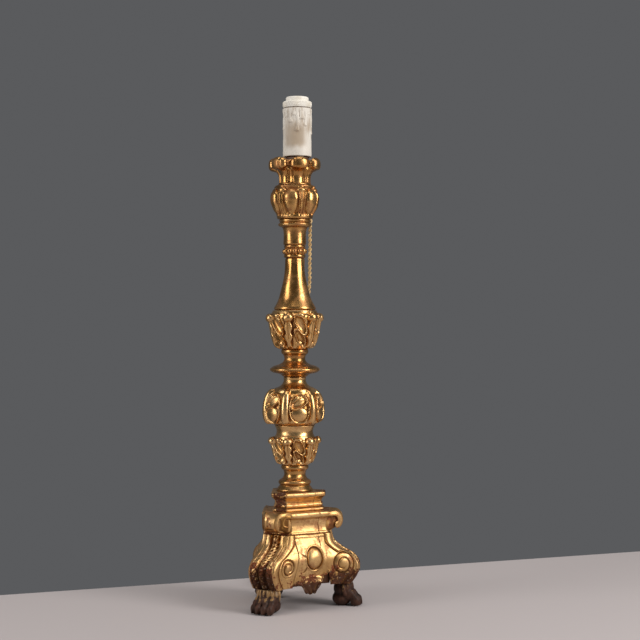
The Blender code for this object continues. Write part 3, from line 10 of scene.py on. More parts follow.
import bpy
import numpy as np
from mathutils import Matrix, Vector


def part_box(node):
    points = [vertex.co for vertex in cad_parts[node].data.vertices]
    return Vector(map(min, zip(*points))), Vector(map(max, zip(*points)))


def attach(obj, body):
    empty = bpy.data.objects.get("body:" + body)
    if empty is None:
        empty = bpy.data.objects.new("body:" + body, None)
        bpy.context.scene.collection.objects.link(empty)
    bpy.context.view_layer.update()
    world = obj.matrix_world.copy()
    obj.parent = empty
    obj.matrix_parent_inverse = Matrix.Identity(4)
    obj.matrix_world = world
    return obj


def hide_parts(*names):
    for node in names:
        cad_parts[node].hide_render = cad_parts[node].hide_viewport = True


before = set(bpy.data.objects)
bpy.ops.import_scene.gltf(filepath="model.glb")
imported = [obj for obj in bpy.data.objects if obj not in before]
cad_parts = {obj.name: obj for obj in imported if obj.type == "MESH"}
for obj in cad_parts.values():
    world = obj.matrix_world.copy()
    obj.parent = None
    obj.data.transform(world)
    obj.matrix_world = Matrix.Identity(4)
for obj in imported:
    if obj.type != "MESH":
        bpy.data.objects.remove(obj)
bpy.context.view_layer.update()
MM = 0.001
STAND = "stand"


def middle(node):
    low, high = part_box(node)
    return (Vector(low) + Vector(high)) / 2


def top_of(node):
    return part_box(node)[1][2] / MM


stem = middle("shaft")
lamp = middle("holder_shell")
print("stem axis at", round(stem.x, 4), "lamp axis at", round(lamp.x, 4))

# %% [markdown]
# ## Camera
# The picture was taken from the height of the stem's middle with a long lens, so upright lines stay upright.
# A level camera gives that without any tilt; only its distance, height and step to the right matter.

# %% Set up the camera
CAMERA_DISTANCE = 1.702
CAMERA_HEIGHT = 0.327
CAMERA_RIGHT = 0.029
LENS = 83.25

camera = bpy.data.objects.new("camera", bpy.data.cameras.new("camera"))
camera.data.lens = LENS
camera.data.sensor_width = 36.0
camera.location = (stem.x + CAMERA_RIGHT, stem.y - CAMERA_DISTANCE, CAMERA_HEIGHT)
camera.rotation_euler = (math.pi / 2, 0, 0)
bpy.context.scene.collection.objects.link(camera)
bpy.context.scene.camera = camera
print("camera stands", CAMERA_DISTANCE, "m in front of the stem")

# %% [markdown]
# ## Shader arithmetic
# A finish such as worn gilding is a sum of masks: so much leaf, so much red clay where it is rubbed, so much
# dirt and painted shade in the hollows. Wiring Math nodes by hand hides that sum. The class below wraps a
# node's output so that `1 - mask * 0.5` adds the nodes itself. Colours are mixed with Mix nodes, because Math
# would turn them grey.

# %% Wrap shader sockets


class Wire:
    """One output of a shader node. Arithmetic on it adds Math nodes."""

    def __init__(self, finish, socket):
        self.finish = finish
        self.socket = socket

    def maths(self, operation, first, second):
        return self.finish.node("ShaderNodeMath", {"operation": operation}, {0: first, 1: second})

    def __add__(self, other):
        return self.maths("ADD", self, other)

    def __radd__(self, other):
        return self.maths("ADD", other, self)

    def __sub__(self, other):
        return self.maths("SUBTRACT", self, other)

    def __rsub__(self, other):
        return self.maths("SUBTRACT", other, self)

    def __mul__(self, other):
        return self.maths("MULTIPLY", self, other)

    def __rmul__(self, other):
        return self.maths("MULTIPLY", other, self)

    def __truediv__(self, other):
        return self.maths("DIVIDE", self, other)

    def most(self, other):
        return self.maths("MAXIMUM", self, other)


class Finish:
    """A material with one Principled shader."""

    def __init__(self, name):
        self.material = bpy.data.materials.new(name)
        self.material.use_nodes = True
        self.tree = self.material.node_tree
        self.shader = self.tree.nodes["Principled BSDF"]
        self.place = self.node("ShaderNodeTexCoord", output="Object")

    def node(self, kind, settings=None, inputs=None, output=0):
        """Adds any node: its settings first, then the values or links of its sockets."""
        made = self.tree.nodes.new(kind)
        for key, value in (settings or {}).items():
            setattr(made, key, value)
        for key, value in (inputs or {}).items():
            self.feed(made.inputs[key], value)
        return Wire(self, made.outputs[output])

    def feed(self, socket, value):
        if isinstance(value, Wire):
            self.tree.links.new(value.socket, socket)
        else:
            socket.default_value = value

    def give(self, **values):
        """Feeds the shader's sockets; an underscore stands for a space."""
        for key, value in values.items():
            self.feed(self.shader.inputs[key.replace("_", " ")], value)
        return self

    def mark(self, name):
        return self.node("ShaderNodeAttribute", {"attribute_name": name}, output="Fac")

    def noise(self, scale, detail=3.0, roughness=0.5, place=None, distortion=0.0):
        sockets = {"Vector": place or self.place, "Scale": scale, "Detail": detail}
        sockets.update({"Roughness": roughness, "Distortion": distortion})
        return self.node("ShaderNodeTexNoise", inputs=sockets)

    def stretched(self, x, y, z):
        sockets = {0: self.place, 1: (x, y, z)}
        return self.node("ShaderNodeVectorMath", {"operation": "MULTIPLY"}, sockets)

    def coordinate(self, axis):
        return self.node("ShaderNodeSeparateXYZ", inputs={0: self.place}, output=axis)

    def step(self, value, low, high):
        """0 below low, 1 above high, eased between; low may be the greater."""
        sockets = {"Value": value, "From Min": low, "From Max": high}
        return self.node("ShaderNodeMapRange", {"interpolation_type": "SMOOTHSTEP"}, sockets)

    def mix(self, share, first, second):
        colours = {6: first, 7: second}
        for key, value in colours.items():
            if not isinstance(value, Wire):
                colours[key] = (*value, 1.0)
        return self.node("ShaderNodeMix", {"data_type": "RGBA"}, {0: share, **colours}, output=2)

    def bump(self, height, distance, strength=1.0):
        sockets = {"Height": height, "Distance": distance * MM, "Strength": strength}
        self.give(Normal=self.node("ShaderNodeBump", inputs=sockets))
        return self


print("shader arithmetic ready")

# %% [markdown]
# ## Floor, backdrop and lamps
# Burnished gold has little colour of its own: it shows the room. The room here is a dark grey backdrop with
# two tall soft boxes in front, one on either side, so that a turned stem shows two bright lines with a brown
# shadow between them. A world with Light Path gives soft fill light, while the camera and every mirror-like
# surface see the grey.

# %% Build the stage
FLOOR_COLOUR = (0.445, 0.405, 0.41, 1.0)
BACKDROP = (0.102, 0.104, 0.109, 1.0)
ROOM_WHITE = (1.0, 0.98, 0.95, 1.0)
ROOM_LIGHT = 0.34
LAMP_WHITE = (1.0, 0.97, 0.93)
LAMP_AIM = 0.3
SOFT_BOXES = {
    "key_box": {"bearing": 60, "lift": 24, "distance": 1.7, "width": 0.70, "height": 1.3, "watts": 26},
    "side_box": {"bearing": -64, "lift": 16, "distance": 1.7, "width": 0.70, "height": 1.3, "watts": 14},
    "top_box": {"bearing": 10, "lift": 78, "distance": 1.6, "width": 1.0, "height": 0.8, "watts": 7},
}
FLOOR_FRONT = 1.6
FLOOR_HALF_WIDTH = 1.3
FLOOR_EDGE = 0.197
FLOOR_SLANT = 0.40


def make_floor():
    """A table top whose back edge runs askew, with room for the coil behind the base."""
    mesh = bpy.data.meshes.new("floor")
    right, left = FLOOR_HALF_WIDTH, -FLOOR_HALF_WIDTH
    outline = [(left, -FLOOR_FRONT), (right, -FLOOR_FRONT)]
    outline += [(x, FLOOR_EDGE + FLOOR_SLANT * x) for x in (right, left)]
    mesh.from_pydata([(stem.x + x, stem.y + y, 0) for x, y in outline], [], [range(len(outline))])
    paint = Finish("floor_paint").give(Base_Color=FLOOR_COLOUR, Roughness=0.7)
    mesh.materials.append(paint.material)
    floor = bpy.data.objects.new("floor", mesh)
    bpy.context.scene.collection.objects.link(floor)


def make_room():
    """A world that lights softly, and that the camera and the gold see as a dark backdrop."""
    world = bpy.data.worlds.new("room")
    bpy.context.scene.world = world
    world.use_nodes = True
    tree = world.node_tree
    tree.nodes.clear()
    path = tree.nodes.new("ShaderNodeLightPath")
    seen = path.outputs["Is Camera Ray"]
    for ray in ("Is Glossy Ray", "Is Transmission Ray"):
        either = tree.nodes.new("ShaderNodeMath")
        either.operation = "MAXIMUM"
        tree.links.new(seen, either.inputs[0])
        tree.links.new(path.outputs[ray], either.inputs[1])
        seen = either.outputs[0]
    lit = tree.nodes.new("ShaderNodeBackground")
    lit.inputs["Color"].default_value = ROOM_WHITE
    lit.inputs["Strength"].default_value = ROOM_LIGHT
    shown = tree.nodes.new("ShaderNodeBackground")
    shown.inputs["Color"].default_value = BACKDROP
    mix = tree.nodes.new("ShaderNodeMixShader")
    tree.links.new(seen, mix.inputs[0])
    tree.links.new(lit.outputs[0], mix.inputs[1])
    tree.links.new(shown.outputs[0], mix.inputs[2])
    out = tree.nodes.new("ShaderNodeOutputWorld")
    tree.links.new(mix.outputs[0], out.inputs["Surface"])


def make_soft_box(name, bearing, lift, distance, width, height, watts):
    """A soft box that looks at the stem. Bearing counts from the camera's side, to the right."""
    data = bpy.data.lights.new(name, "AREA")
    data.shape = "RECTANGLE"
    data.size = width
    data.size_y = height
    data.energy = watts
    data.color = LAMP_WHITE
    box = bpy.data.objects.new(name, data)
    turn, rise = math.radians(bearing), math.radians(lift)
    way = Vector((math.sin(turn) * math.cos(rise), -math.cos(turn) * math.cos(rise), math.sin(rise)))
    box.location = Vector((stem.x, stem.y, LAMP_AIM)) + way * distance
    box.rotation_euler = (-way).to_track_quat("-Z", "Y").to_euler()
    bpy.context.scene.collection.objects.link(box)


make_floor()
make_room()
for box_name, setting in SOFT_BOXES.items():
    make_soft_box(box_name, **setting)
bpy.context.scene.view_settings.view_transform = "Standard"
print("stage: floor, room and three soft boxes")

# %% [markdown]
# ## From points to pieces
# Nearly every piece here is a grid of points: rows up the piece and columns round it. One helper joins such
# grids into a mesh and measures how deep each point lies under its smoothed surroundings. That depth is what
# a duster and long years of dirt go by: ridges lose their leaf, hollows keep the dirt. It also darkens the
# hollows of the gilding as painted shade, and darkens the hollows of other finishes. The finishes read it
# back as the attribute "hollow".

# %% Grid and mesh helpers


def grid_faces(rows, columns, around=True, closed=False, start=0):
    """Quads of a grid whose rows run up and whose columns run anticlockwise."""
    ring = np.arange(columns if around else columns - 1)
    level = np.arange(rows if closed else rows - 1)
    low = level[:, None] * columns + start
    high = ((level[:, None] + 1) % rows) * columns + start
    left, right = ring[None, :], (ring[None, :] + 1) % columns
    return np.stack((low + left, low + right, high + right, high + left), axis=-1).reshape(-1, 4).tolist()


def end_caps(rows, columns, start=0):
    bottom = [start + k for k in reversed(range(columns))]
    top = [start + (rows - 1) * columns + k for k in range(columns)]
    return [bottom, top]


def tube_faces(rows, columns, start=0):
    """Faces of a closed tube: its wall and both ends."""
    return grid_faces(rows, columns, start=start) + end_caps(rows, columns, start)


def spun(points, turn):
    """Points turned about the upright axis they are counted from."""
    cos, sin = math.cos(turn), math.sin(turn)
    x, y = points[:, 0] * cos - points[:, 1] * sin, points[:, 0] * sin + points[:, 1] * cos
    return np.column_stack((x, y, points[:, 2]))


def read_points(items, name, size=3, kind=np.float32):
    values = np.empty(len(items) * size, kind)
    items.foreach_get(name, values)
    return values.reshape(-1, size)


def relaxed(mesh, rounds):
    """A mesh's points, and where they come to rest when each moves half way to its neighbours' middle."""
    place = read_points(mesh.vertices, "co").astype(float)
    ends = read_points(mesh.edges, "vertices", 2, np.int32)
    both = np.concatenate((ends, ends[:, ::-1]))
    degree = np.maximum(np.bincount(both[:, 0], minlength=len(place)), 1)
    soft = place.copy()
    for _ in range(rounds):
        for axis in range(3):
            beside = np.bincount(both[:, 0], soft[both[:, 1], axis], len(place)) / degree
            soft[:, axis] += 0.5 * (beside - soft[:, axis])
    return place, soft


def mark_hollows(mesh, rounds):
    """Stores how far each point lies under (+) or over (-) its smoothed surroundings, in millimetres."""
    place, soft = relaxed(mesh, rounds)
    normal = read_points(mesh.vertex_normals, "vector")
    depth = ((soft - place) * normal).sum(axis=1) / MM
    mesh.attributes.new("hollow", "FLOAT", "POINT").data.foreach_set("value", depth.astype(np.float32))


def dress(name, points, faces, nodes, finish, body=STAND, marks=None, sharp=None, rounds=24):
    """A piece in place of the nodes named, riding on their body."""
    mesh = bpy.data.meshes.new(name)
    mesh.from_pydata(np.asarray(points).tolist(), [], faces)
    mesh.shade_smooth()
    if sharp:
        mesh.set_sharp_from_angle(angle=math.radians(sharp))
    if rounds:
        mark_hollows(mesh, rounds)
    for key, values in (marks or {}).items():
        flat = np.asarray(values, np.float32).ravel()
        mesh.attributes.new(key, "FLOAT", "POINT").data.foreach_set("value", flat)
    mesh.materials.append(finish.material)
    made = bpy.data.objects.new(name, mesh)
    bpy.context.scene.collection.objects.link(made)
    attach(made, body)
    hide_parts(*nodes)
    print(name, len(mesh.vertices), "points")
    return made


# %% [markdown]
# ## The flex
# The cord is two thin insulated wires twisted together, pinned down the back of the stem, with the spare
# length wound into a flat coil behind the base. A curve with a round bevel would give a plain hose. Here two
# strands are swept round the cord's line instead, one turn in every eleven millimetres, on a frame that is
# carried along without spinning.

# %% Finish of the flex
FLEX_GOLD = (0.62, 0.43, 0.19)
FLEX_SHADE = (0.40, 0.25, 0.10)


def make_flex_finish():
    made = Finish("flex_sheath")
    cloud = made.noise(160, 3)
    weave = made.noise(2600, 1)
    made.give(Base_Color=made.mix(made.step(cloud, 0.35, 0.7), FLEX_GOLD, FLEX_SHADE))
    made.give(Roughness=0.38 + 0.2 * cloud)
    return made.bump(weave, 0.05, 0.4)


flex_finish = make_flex_finish()
print("flex finish made")

# %% The cord's line
CORD_DIAMETER = 4.4
EXIT_ANGLE = math.radians(62)
EXIT_DIP = math.radians(35)
BUSH_END = 30.5
LAMP_OFFSET = (lamp.x - stem.x) / MM
KNOP_HEIGHT = 38.4
EXIT_UP = 23.2
EXIT_TURN = top_of("gadroon_knop") - KNOP_HEIGHT + EXIT_UP
COIL_CENTRE = (-14.0, 146.0)
COIL_TURNS = 3.5
COIL_RADIUS = 24.2
COIL_PITCH = 5.1
COIL_LOW = 3.7
TAIL_BEND = 18.0
CORD_ROUTE = (
    (17.4, 29.6, 434.0),
    (17.2, 30.2, 415.0),
    (17.0, 30.2, 395.0),
    (16.8, 30.4, 372.0),
    (15.0, 32.4, 352.0),
    (12.4, 35.6, 335.0),
    (10.4, 36.8, 318.0),
    (9.0, 37.8, 298.0),
    (8.2, 39.0, 275.0),
    (7.6, 40.6, 250.0),
    (7.2, 41.6, 228.0),
    (7.2, 41.8, 205.0),
    (7.6, 42.4, 180.0),
    (8.2, 43.2, 152.0),
    (9.4, 44.4, 125.0),
    (11.0, 46.4, 102.0),
    (13.0, 48.8, 80.0),
    (14.8, 51.2, 58.0),
    (16.2, 54.2, 38.0),
    (17.0, 58.6, 22.0),
    (17.6, 65.6, 10.4),
    (18.2, 75.6, 4.6),
    (18.6, 88.0, 3.0),
    (18.8, 103.0, 3.0),
)


def smooth_route(points, step):
    """Evenly spaced points on a smooth curve through the given ones."""
    marks = np.array(points, float)
    padded = np.vstack((2 * marks[0] - marks[1], marks, 2 * marks[-1] - marks[-2]))
    t = np.linspace(0, 1, 20, endpoint=False)[:, None]
    fine = []
    for a, b, c, d in zip(padded, padded[1:], padded[2:], padded[3:]):
        square, cube = 2 * a - 5 * b + 4 * c - d, 3 * b - a - 3 * c + d
        fine.append((2 * b + (c - a) * t + square * t**2 + cube * t**3) / 2)
    fine = np.vstack((*fine, marks[-1:]))
    along = np.concatenate(([0], np.cumsum(np.linalg.norm(np.diff(fine, axis=0), axis=1))))
    even = np.linspace(0, along[-1], max(2, round(along[-1] / step)) + 1)
    return np.column_stack([np.interp(even, along, fine[:, k]) for k in range(3)])


def exit_way():
    level = math.cos(EXIT_DIP)
    return np.array((math.cos(EXIT_ANGLE) * level, math.sin(EXIT_ANGLE) * level, -math.sin(EXIT_DIP)))


def coil_line():
    """Two flat layers: in from the outside, up a layer, and out again."""
    turns = np.arange(round((2 * COIL_TURNS + 0.5) * 24) + 1) / 24
    back = turns - COIL_TURNS
    outer, inner = COIL_RADIUS + COIL_PITCH * COIL_TURNS / 2, COIL_RADIUS - COIL_PITCH * COIL_TURNS / 2
    turning = np.clip(back, 0, 0.5)
    crossing = inner - COIL_PITCH * turning + 2 * COIL_PITCH * turning**2
    radius = np.where(back <= 0, outer - COIL_PITCH * turns, crossing)
    radius = np.where(back > 0.5, inner + COIL_PITCH * (back - 0.5), radius)
    rise = 2 * turning
    z = COIL_LOW + COIL_PITCH * rise * rise * (3 - 2 * rise)
    angle = math.tau * turns
    x, y = COIL_CENTRE[0] + radius * np.cos(angle), COIL_CENTRE[1] + radius * np.sin(angle)
    return np.column_stack((x, y, z))


def cord_line():
    """From the bush's mouth down the back of the stem, round the coil and into the plug."""
    start = np.array((LAMP_OFFSET, 0, EXIT_TURN)) + exit_way() * BUSH_END
    coil = coil_line()
    ahead, leaving = np.array((0, 1, 0)), np.array((0, -1, 0))
    points = [start, start + exit_way() * CORD_DIAMETER, start + exit_way() * 2 * CORD_DIAMETER, *CORD_ROUTE]
    points += [coil[0] - ahead * 4 * CORD_DIAMETER, coil[0] - ahead * 2 * CORD_DIAMETER, *coil]
    tail, plug_axis = coil[-1] + leaving * CORD_DIAMETER, middle("plug_sleeve").z / MM
    points += [tail, tail + leaving * CORD_DIAMETER]
    plug_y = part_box("plug_sleeve")[0][1] / MM
    for k in range(7):
        angle = math.pi + math.pi * k / 6
        share = 0.2 + 0.8 * k / 6
        height = tail[2] + (plug_axis - tail[2]) * share * share * (3 - 2 * share)
        across = tail[0] + TAIL_BEND * (1 + math.cos(angle))
        points.append((across, plug_y - 6 + TAIL_BEND * math.sin(angle) * 0.8, height))
    points.append((tail[0] + 2 * TAIL_BEND, plug_y, plug_axis))
    return smooth_route(points, 0.9)


cord_points = cord_line()

# %% Twist two strands round the line
LAY = 11.0
STRAND = 1.08
STRAND_SIDES = 8


def carried_frame(line):
    """Two directions across the line at each point, carried along it without spin."""
    ahead = np.gradient(line, axis=0)
    ahead /= np.linalg.norm(ahead, axis=1)[:, None]
    across = np.empty_like(ahead)
    guess = np.cross(ahead[0], (0.3, 0.2, 0.9))
    for k, way in enumerate(ahead):
        guess = guess - way * guess.dot(way)
        guess /= np.linalg.norm(guess)
        across[k] = guess
    return across, np.cross(ahead, across)


def twisted_pair(line):
    """Points and faces of two strands twisted round a line, in millimetres from the stem's axis."""
    first, second = carried_frame(line)
    along = np.concatenate(([0], np.cumsum(np.linalg.norm(np.diff(line, axis=0), axis=1))))
    angle = math.tau * np.arange(STRAND_SIDES) / STRAND_SIDES
    cos, sin = np.cos(angle)[None, :, None], np.sin(angle)[None, :, None]
    points, faces = [], []
    for phase in (0, math.pi):
        turn = (math.tau * along / LAY + phase)[:, None]
        centre = line + STRAND * (first * np.cos(turn) + second * np.sin(turn))
        ring = first[:, None] * cos + second[:, None] * sin
        start = sum(len(part) for part in points)
        points.append((centre[:, None] + STRAND * ring).reshape(-1, 3))
        faces += tube_faces(len(line), STRAND_SIDES, start)
    return np.vstack(points), faces


def from_stem(points):
    """Metres in the frame, from millimetres counted from the stem's axis."""
    return np.asarray(points) * MM + np.array((stem.x, stem.y, 0.0))


def lead_line():
    """The hidden stretch: from under the contact block down the lamp's axis and out to the bush's mouth."""
    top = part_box("contact_block")[0][2] / MM - 0.3
    turn = np.array((LAMP_OFFSET, 0, EXIT_TURN))
    points = [(LAMP_OFFSET, 0, top), (LAMP_OFFSET, 0, (top + EXIT_TURN) / 2), (LAMP_OFFSET, 0, EXIT_TURN + 7)]
    points += [turn + exit_way() * 7, turn + exit_way() * (BUSH_END - 0.4)]
    return smooth_route(points, 0.9)


points, faces = twisted_pair(cord_points)
solids = ("cord_run", "cord_coil", "cord_tail")
flex = dress("flex", from_stem(points), faces, solids, flex_finish, rounds=0)
points, faces = twisted_pair(lead_line())
dress("inner_flex", from_stem(points), faces, ("inner_lead",), flex_finish, rounds=0)

# %% [markdown]
# ## Gilding
# Water gilding is beaten gold over red clay, called bole, over white gesso, burnished with a stone. Gold is
# the shader's metal, turned a deeper amber in the hollows as painted shade. Where dusting has rubbed the
# ridges or the leaf is thin the clay shows through, and a soil colour in the cuts stands for dirt and painted
# shade together. Depth comes from the mesh, broken up by noise so that no edge is even. The mark "worn" bares
# the wood. The leaf-carved sections and the base each have leaf of their own tone.

# %% Gilding finish
LEAF_LIGHT = (0.66, 0.405, 0.155)
LEAF_DEEP = (0.46, 0.225, 0.066)
# painted shade: the darker amber that the leaf takes in the hollows
PAINTED_SHADE_AMBER = (0.44, 0.215, 0.052)
BOLE = (0.26, 0.072, 0.03)
BARE_BROWN = (0.066, 0.028, 0.015)
# soil colour in the hollows, standing for dirt and painted shade together
SOIL_AND_SHADE = (0.125, 0.054, 0.014)
GESSO = (0.55, 0.48, 0.39)
BASE_LIGHT, BASE_DEEP = (0.76, 0.51, 0.235), (0.54, 0.31, 0.115)
CARVED_LIGHT, CARVED_DEEP = (0.83, 0.56, 0.26), (0.61, 0.345, 0.125)


# Its dirt amount darkens the hollows as dirt and painted shade together.
def gilding(name, light, deep, rough, shade_and_dirt_amount, mottle, flaking, rubbing=0.06, waves=0.12):
    made = Finish(name)
    hollow, worn = made.mark("hollow"), made.mark("worn")
    broad, patches = made.noise(34, 4), made.noise(120, 5, 0.6)
    fine = made.noise(520, 4)
    leaf = made.mix(made.step(broad + 0.5 * (patches - 0.5), 0.3, 0.72), deep, light)
    thin = made.step(patches + 0.4 * (broad - 0.5) + 0.3 * (fine - 0.5), 0.44, 0.68) * mottle
    rubbed = made.step(-1.5 * hollow + 0.9 * (patches - 0.5) + 0.5 * (fine - 0.5), 0.16, 0.62) * rubbing
    flaked = made.step(patches + 0.35 * (fine - 0.5) + 0.55 * worn, flaking, flaking + 0.1)
    bared = made.step(worn + 0.9 * (patches - 0.5) + 0.9 * hollow, 0.35, 0.8)
    # Painted shade: the leaf turns a darker amber where it lies in a hollow.
    leaf = made.mix(made.step(hollow + 0.4 * (patches - 0.5), 0.02, 0.30) * 0.8, leaf, PAINTED_SHADE_AMBER)
    # Dirt and painted shade: the hollows take the soil colour.
    dirt_and_shade = made.step(hollow + 0.30 * (fine - 0.5) + 0.2 * (patches - 0.5), 0.14, 0.62) * shade_and_dirt_amount
    lost = rubbed.most(flaked).most(bared).most(thin)
    clay = made.mix(made.step(worn + 0.7 * (fine - 0.5), 0.25, 0.75), BOLE, BARE_BROWN)
    chips = made.step(made.noise(300, 3, 0.6), 0.62, 0.70) * flaked
    colour = made.mix(lost, leaf, clay)
    colour = made.mix(chips * 0.5, colour, GESSO)
    colour = made.mix(dirt_and_shade, colour, SOIL_AND_SHADE)
    covered = lost.most(dirt_and_shade)
    made.give(Base_Color=colour, Metallic=1.0 - 0.22 * covered - 0.65 * bared, Specular_IOR_Level=0.15)
    made.give(Roughness=rough + 0.10 * (fine - 0.5) + 0.10 * (broad - 0.5) + 0.25 * covered)
    return made.bump(0.25 * fine + 0.9 * patches - 0.3 * lost, 0.06, waves)


stem_gold = gilding("stem_gilding", LEAF_LIGHT, LEAF_DEEP, rough=0.25, shade_and_dirt_amount=0.50, mottle=0.62, flaking=0.76)
leaf_gold = gilding(
    "leaf_gilding", CARVED_LIGHT, CARVED_DEEP, rough=0.27, shade_and_dirt_amount=0.50, mottle=0.40, flaking=0.80,
)
base_gold = gilding(
    "base_gilding", BASE_LIGHT, BASE_DEEP, rough=0.38, shade_and_dirt_amount=0.9, mottle=0.62, flaking=0.70,
    rubbing=0.14, waves=0.30,
)
print("three kinds of gilding made")

# %% [markdown]
# ## Turning and carving
# A turner first makes a plain round section from an outline; the carver then cuts leaves and lobes into it.
# The helper works in that order: the outline is softened as gesso softens wood, spread into rows and columns,
# and a relief function then lifts or sinks each point square to the surface.

# %% Lathe helpers


def smooth(low, high, value):
    share = np.clip((value - low) / (high - low), 0, 1)
    return share * share * (3 - 2 * share)


def dome(square):
    """A round top: 1 in the middle, nothing where the squared distance passes 1."""
    return np.sqrt(np.clip(1 - square, 0, None))


def ridge(offset, width):
    return np.exp(-((offset / width) ** 2))


def fine_outline(outline, step, soften):
    """Even points along an outline of (radius, height[, bulge]); corners are softened."""
    points = [np.array(outline[0][:2], float)]
    for entry in outline[1:]:
        start, end = points[-1], np.array(entry[:2], float)
        if len(entry) == 3:
            chord = end - start
            side = np.array((chord[1], -chord[0])) / np.hypot(*chord)
            for share in np.linspace(0, 1, 12)[1:-1]:
                points.append(start + chord * share + side * entry[2] * 4 * share * (1 - share))
        points.append(end)
    soft = [points[0]]
    for before, here, after in zip(points, points[1:], points[2:]):
        back, on = before - here, after - here
        one = here + back * min(soften / np.hypot(*back), 0.45)
        two = here + on * min(soften / np.hypot(*on), 0.45)
        for t in (0, 0.25, 0.5, 0.75, 1):
            soft.append((1 - t) ** 2 * one + 2 * t * (1 - t) * here + t * t * two)
    soft = np.array([*soft, points[-1]])
    along = np.concatenate(([0], np.cumsum(np.hypot(*np.diff(soft, axis=0).T))))
    even = np.linspace(0, along[-1], max(4, round(along[-1] / step)) + 1)
    return np.column_stack([np.interp(even, along, soft[:, k]) for k in range(2)])


def turned(outline, seat, relief, turn, columns, step, soften, axis=stem, closed=False):
    """Points and faces of a turned piece; relief(radius, height, angle) lifts the surface."""
    outline = [*outline, outline[0]] if closed else outline
    profile = fine_outline(outline, step, soften)
    if closed:
        profile = profile[:-1]
    slope = np.gradient(profile, axis=0)
    slope /= np.maximum(np.hypot(*slope.T), 1e-9)[:, None]
    angle = math.tau * np.arange(columns) / columns
    radius = np.repeat(profile[:, :1], columns, axis=1)
    height = np.repeat(profile[:, 1:], columns, axis=1)
    if relief:
        own = (angle - turn + math.pi) % math.tau - math.pi
        lift = relief(radius, height, np.repeat(own[None, :], len(profile), axis=0))
        radius, height = radius + lift * slope[:, 1:], height - lift * slope[:, :1]
    x, y = axis.x + radius * np.cos(angle) * MM, axis.y + radius * np.sin(angle) * MM
    points = np.stack((x, y, (height + seat) * MM), axis=-1).reshape(-1, 3)
    faces = grid_faces(len(profile), columns, closed=closed)
    return points, faces if closed else faces + end_caps(len(profile), columns)


def across(angle, count):
    """Place across one of count equal leaves: 0 on its middle, -1 and 1 at its edges; and its number."""
    cell = angle * count / math.tau
    number = np.round(cell)
    return 2 * (cell - number), number % count


def hand(number, seed):
    """A small number of its own for each leaf, between -1 and 1."""
    return np.sin(number * 12.9898 + seed * 4.1414)


print("lathe ready")

# %% [markdown]
# ## Plain turned sections
# The stem foot, the disc collar, the trumpet-shaped shaft and the neck carry no carving. They are turned with
# a little wander, because a pole lathe and a coat of gesso never leave a true circle.

# %% Turn the plain sections
STEM_FOOT = (
    (15, 0), (20.8, 0), (21.1, 1.4), (17.6, 5.8), (16.8, 6.7), (16.8, 12.6, 2.0), (14.4, 13.7), (12.3, 17.0),
    (12.0, 19.6), (13.0, 23.4), (14.8, 24.8), (14.8, 29.4, 0.8), (11, 29.4),
)
DISC_COLLAR = (
    (9, 0), (13.7, 0), (15.2, 2.0), (18.0, 3.4), (24.6, 4.6), (25.8, 5.2), (25.8, 11.0, 2.8), (24.6, 11.9),
    (18.0, 13.8), (14.0, 16.0), (12.0, 19.0), (11.7, 21.4), (12.9, 25.2), (14.6, 26.4), (14.6, 31.7, 0.9),
    (10, 31.7),
)
SHAFT = (
    (18, 0), (23.4, 0), (24.3, 1.8), (21.7, 6.6), (19.3, 11.3), (17.9, 15.5), (15.8, 22.7), (13.6, 32.0),
    (12.2, 40.0), (11.4, 47.0), (11.2, 53.0), (11.3, 59.7), (8, 59.7),
)
NECK_COLLAR = (
    (8, 0), (13.3, 0), (13.0, 5.0), (12.9, 10.0), (13.1, 15.0), (14.0, 19.0), (15.2, 20.6), (17.8, 21.1),
    (17.8, 25.7, 1.7), (17.1, 26.3), (17.5, 29.5, 1.1), (12, 29.5),
)


PLAIN_SECTIONS = (
    ("stem_foot_gilt", "stem_foot", STEM_FOOT, 1.4),
    ("disc_collar_gilt", "disc_collar", DISC_COLLAR, 1.4),
    ("shaft_gilt", "shaft", SHAFT, 4.0),
    ("neck_gilt", "neck_collar", NECK_COLLAR, 2.0),
)
UNEVENNESS = 0.16


def wander(seed):
    """The slight unevenness of hand turning."""

    def relief(radius, height, angle):
        slow = np.sin(2 * angle + seed) + 0.6 * np.sin(3 * angle - 1.7 * seed + 0.11 * height)
        return UNEVENNESS * (slow + 0.7 * np.sin(0.23 * height * np.cos(angle + seed) + 5 * seed))

    return relief


def turn_section(name, node, outline, relief, turn, columns, soften, step, gold=stem_gold, rounds=30):
    """A section of the stem, its top where the solid's top is."""
    seat = top_of(node) - max(entry[1] for entry in outline)
    points, faces = turned(outline, seat, relief, turn, columns, step, soften)
    dress(name, points, faces, (node,), gold, rounds=rounds)


for seed, (name, node, outline, soften) in enumerate(PLAIN_SECTIONS, 1):
    turn_section(name, node, outline, wander(float(seed)), 0.0, 128, soften, 0.7, rounds=24)

# %% [markdown]
# ## The ring of beads
# Between shaft and neck the turner left a raised band, and the carver cut it into twelve round beads between
# two fillets. Each bead is a dome lifted from the band, so the groove round it stays deep and dark.

# %% Carve the ring of beads
BEAD_RING = (
    (8, 0), (12.2, 0), (12.5, 1.6), (12.3, 3.1), (11.1, 3.9), (11.4, 7.4), (11.1, 10.9), (12.3, 11.6),
    (12.5, 12.9), (12.2, 14.2), (8, 14.2),
)
BEADS = 12


def bead_relief(radius, height, angle):
    u, number = across(angle, BEADS)
    spot = (u / 0.93) ** 2 + ((height - 7.4 - 0.25 * hand(number, 2)) / 3.5) ** 2
    return 2.9 * dome(spot) * (1 + 0.07 * hand(number, 1)) * (radius > 10)


turn_section("bead_ring_gilt", "bead_ring", BEAD_RING, bead_relief, 0.0, 240, 0.8, 0.45)

# %% [markdown]
# ## The cup
# The cup that once held a candle spike flares from a ribbed waist into six tongues that roll outwards. The
# ribs are broad and convex with a thin bead in each gap; the tongues are parted by notches cut to the waist.

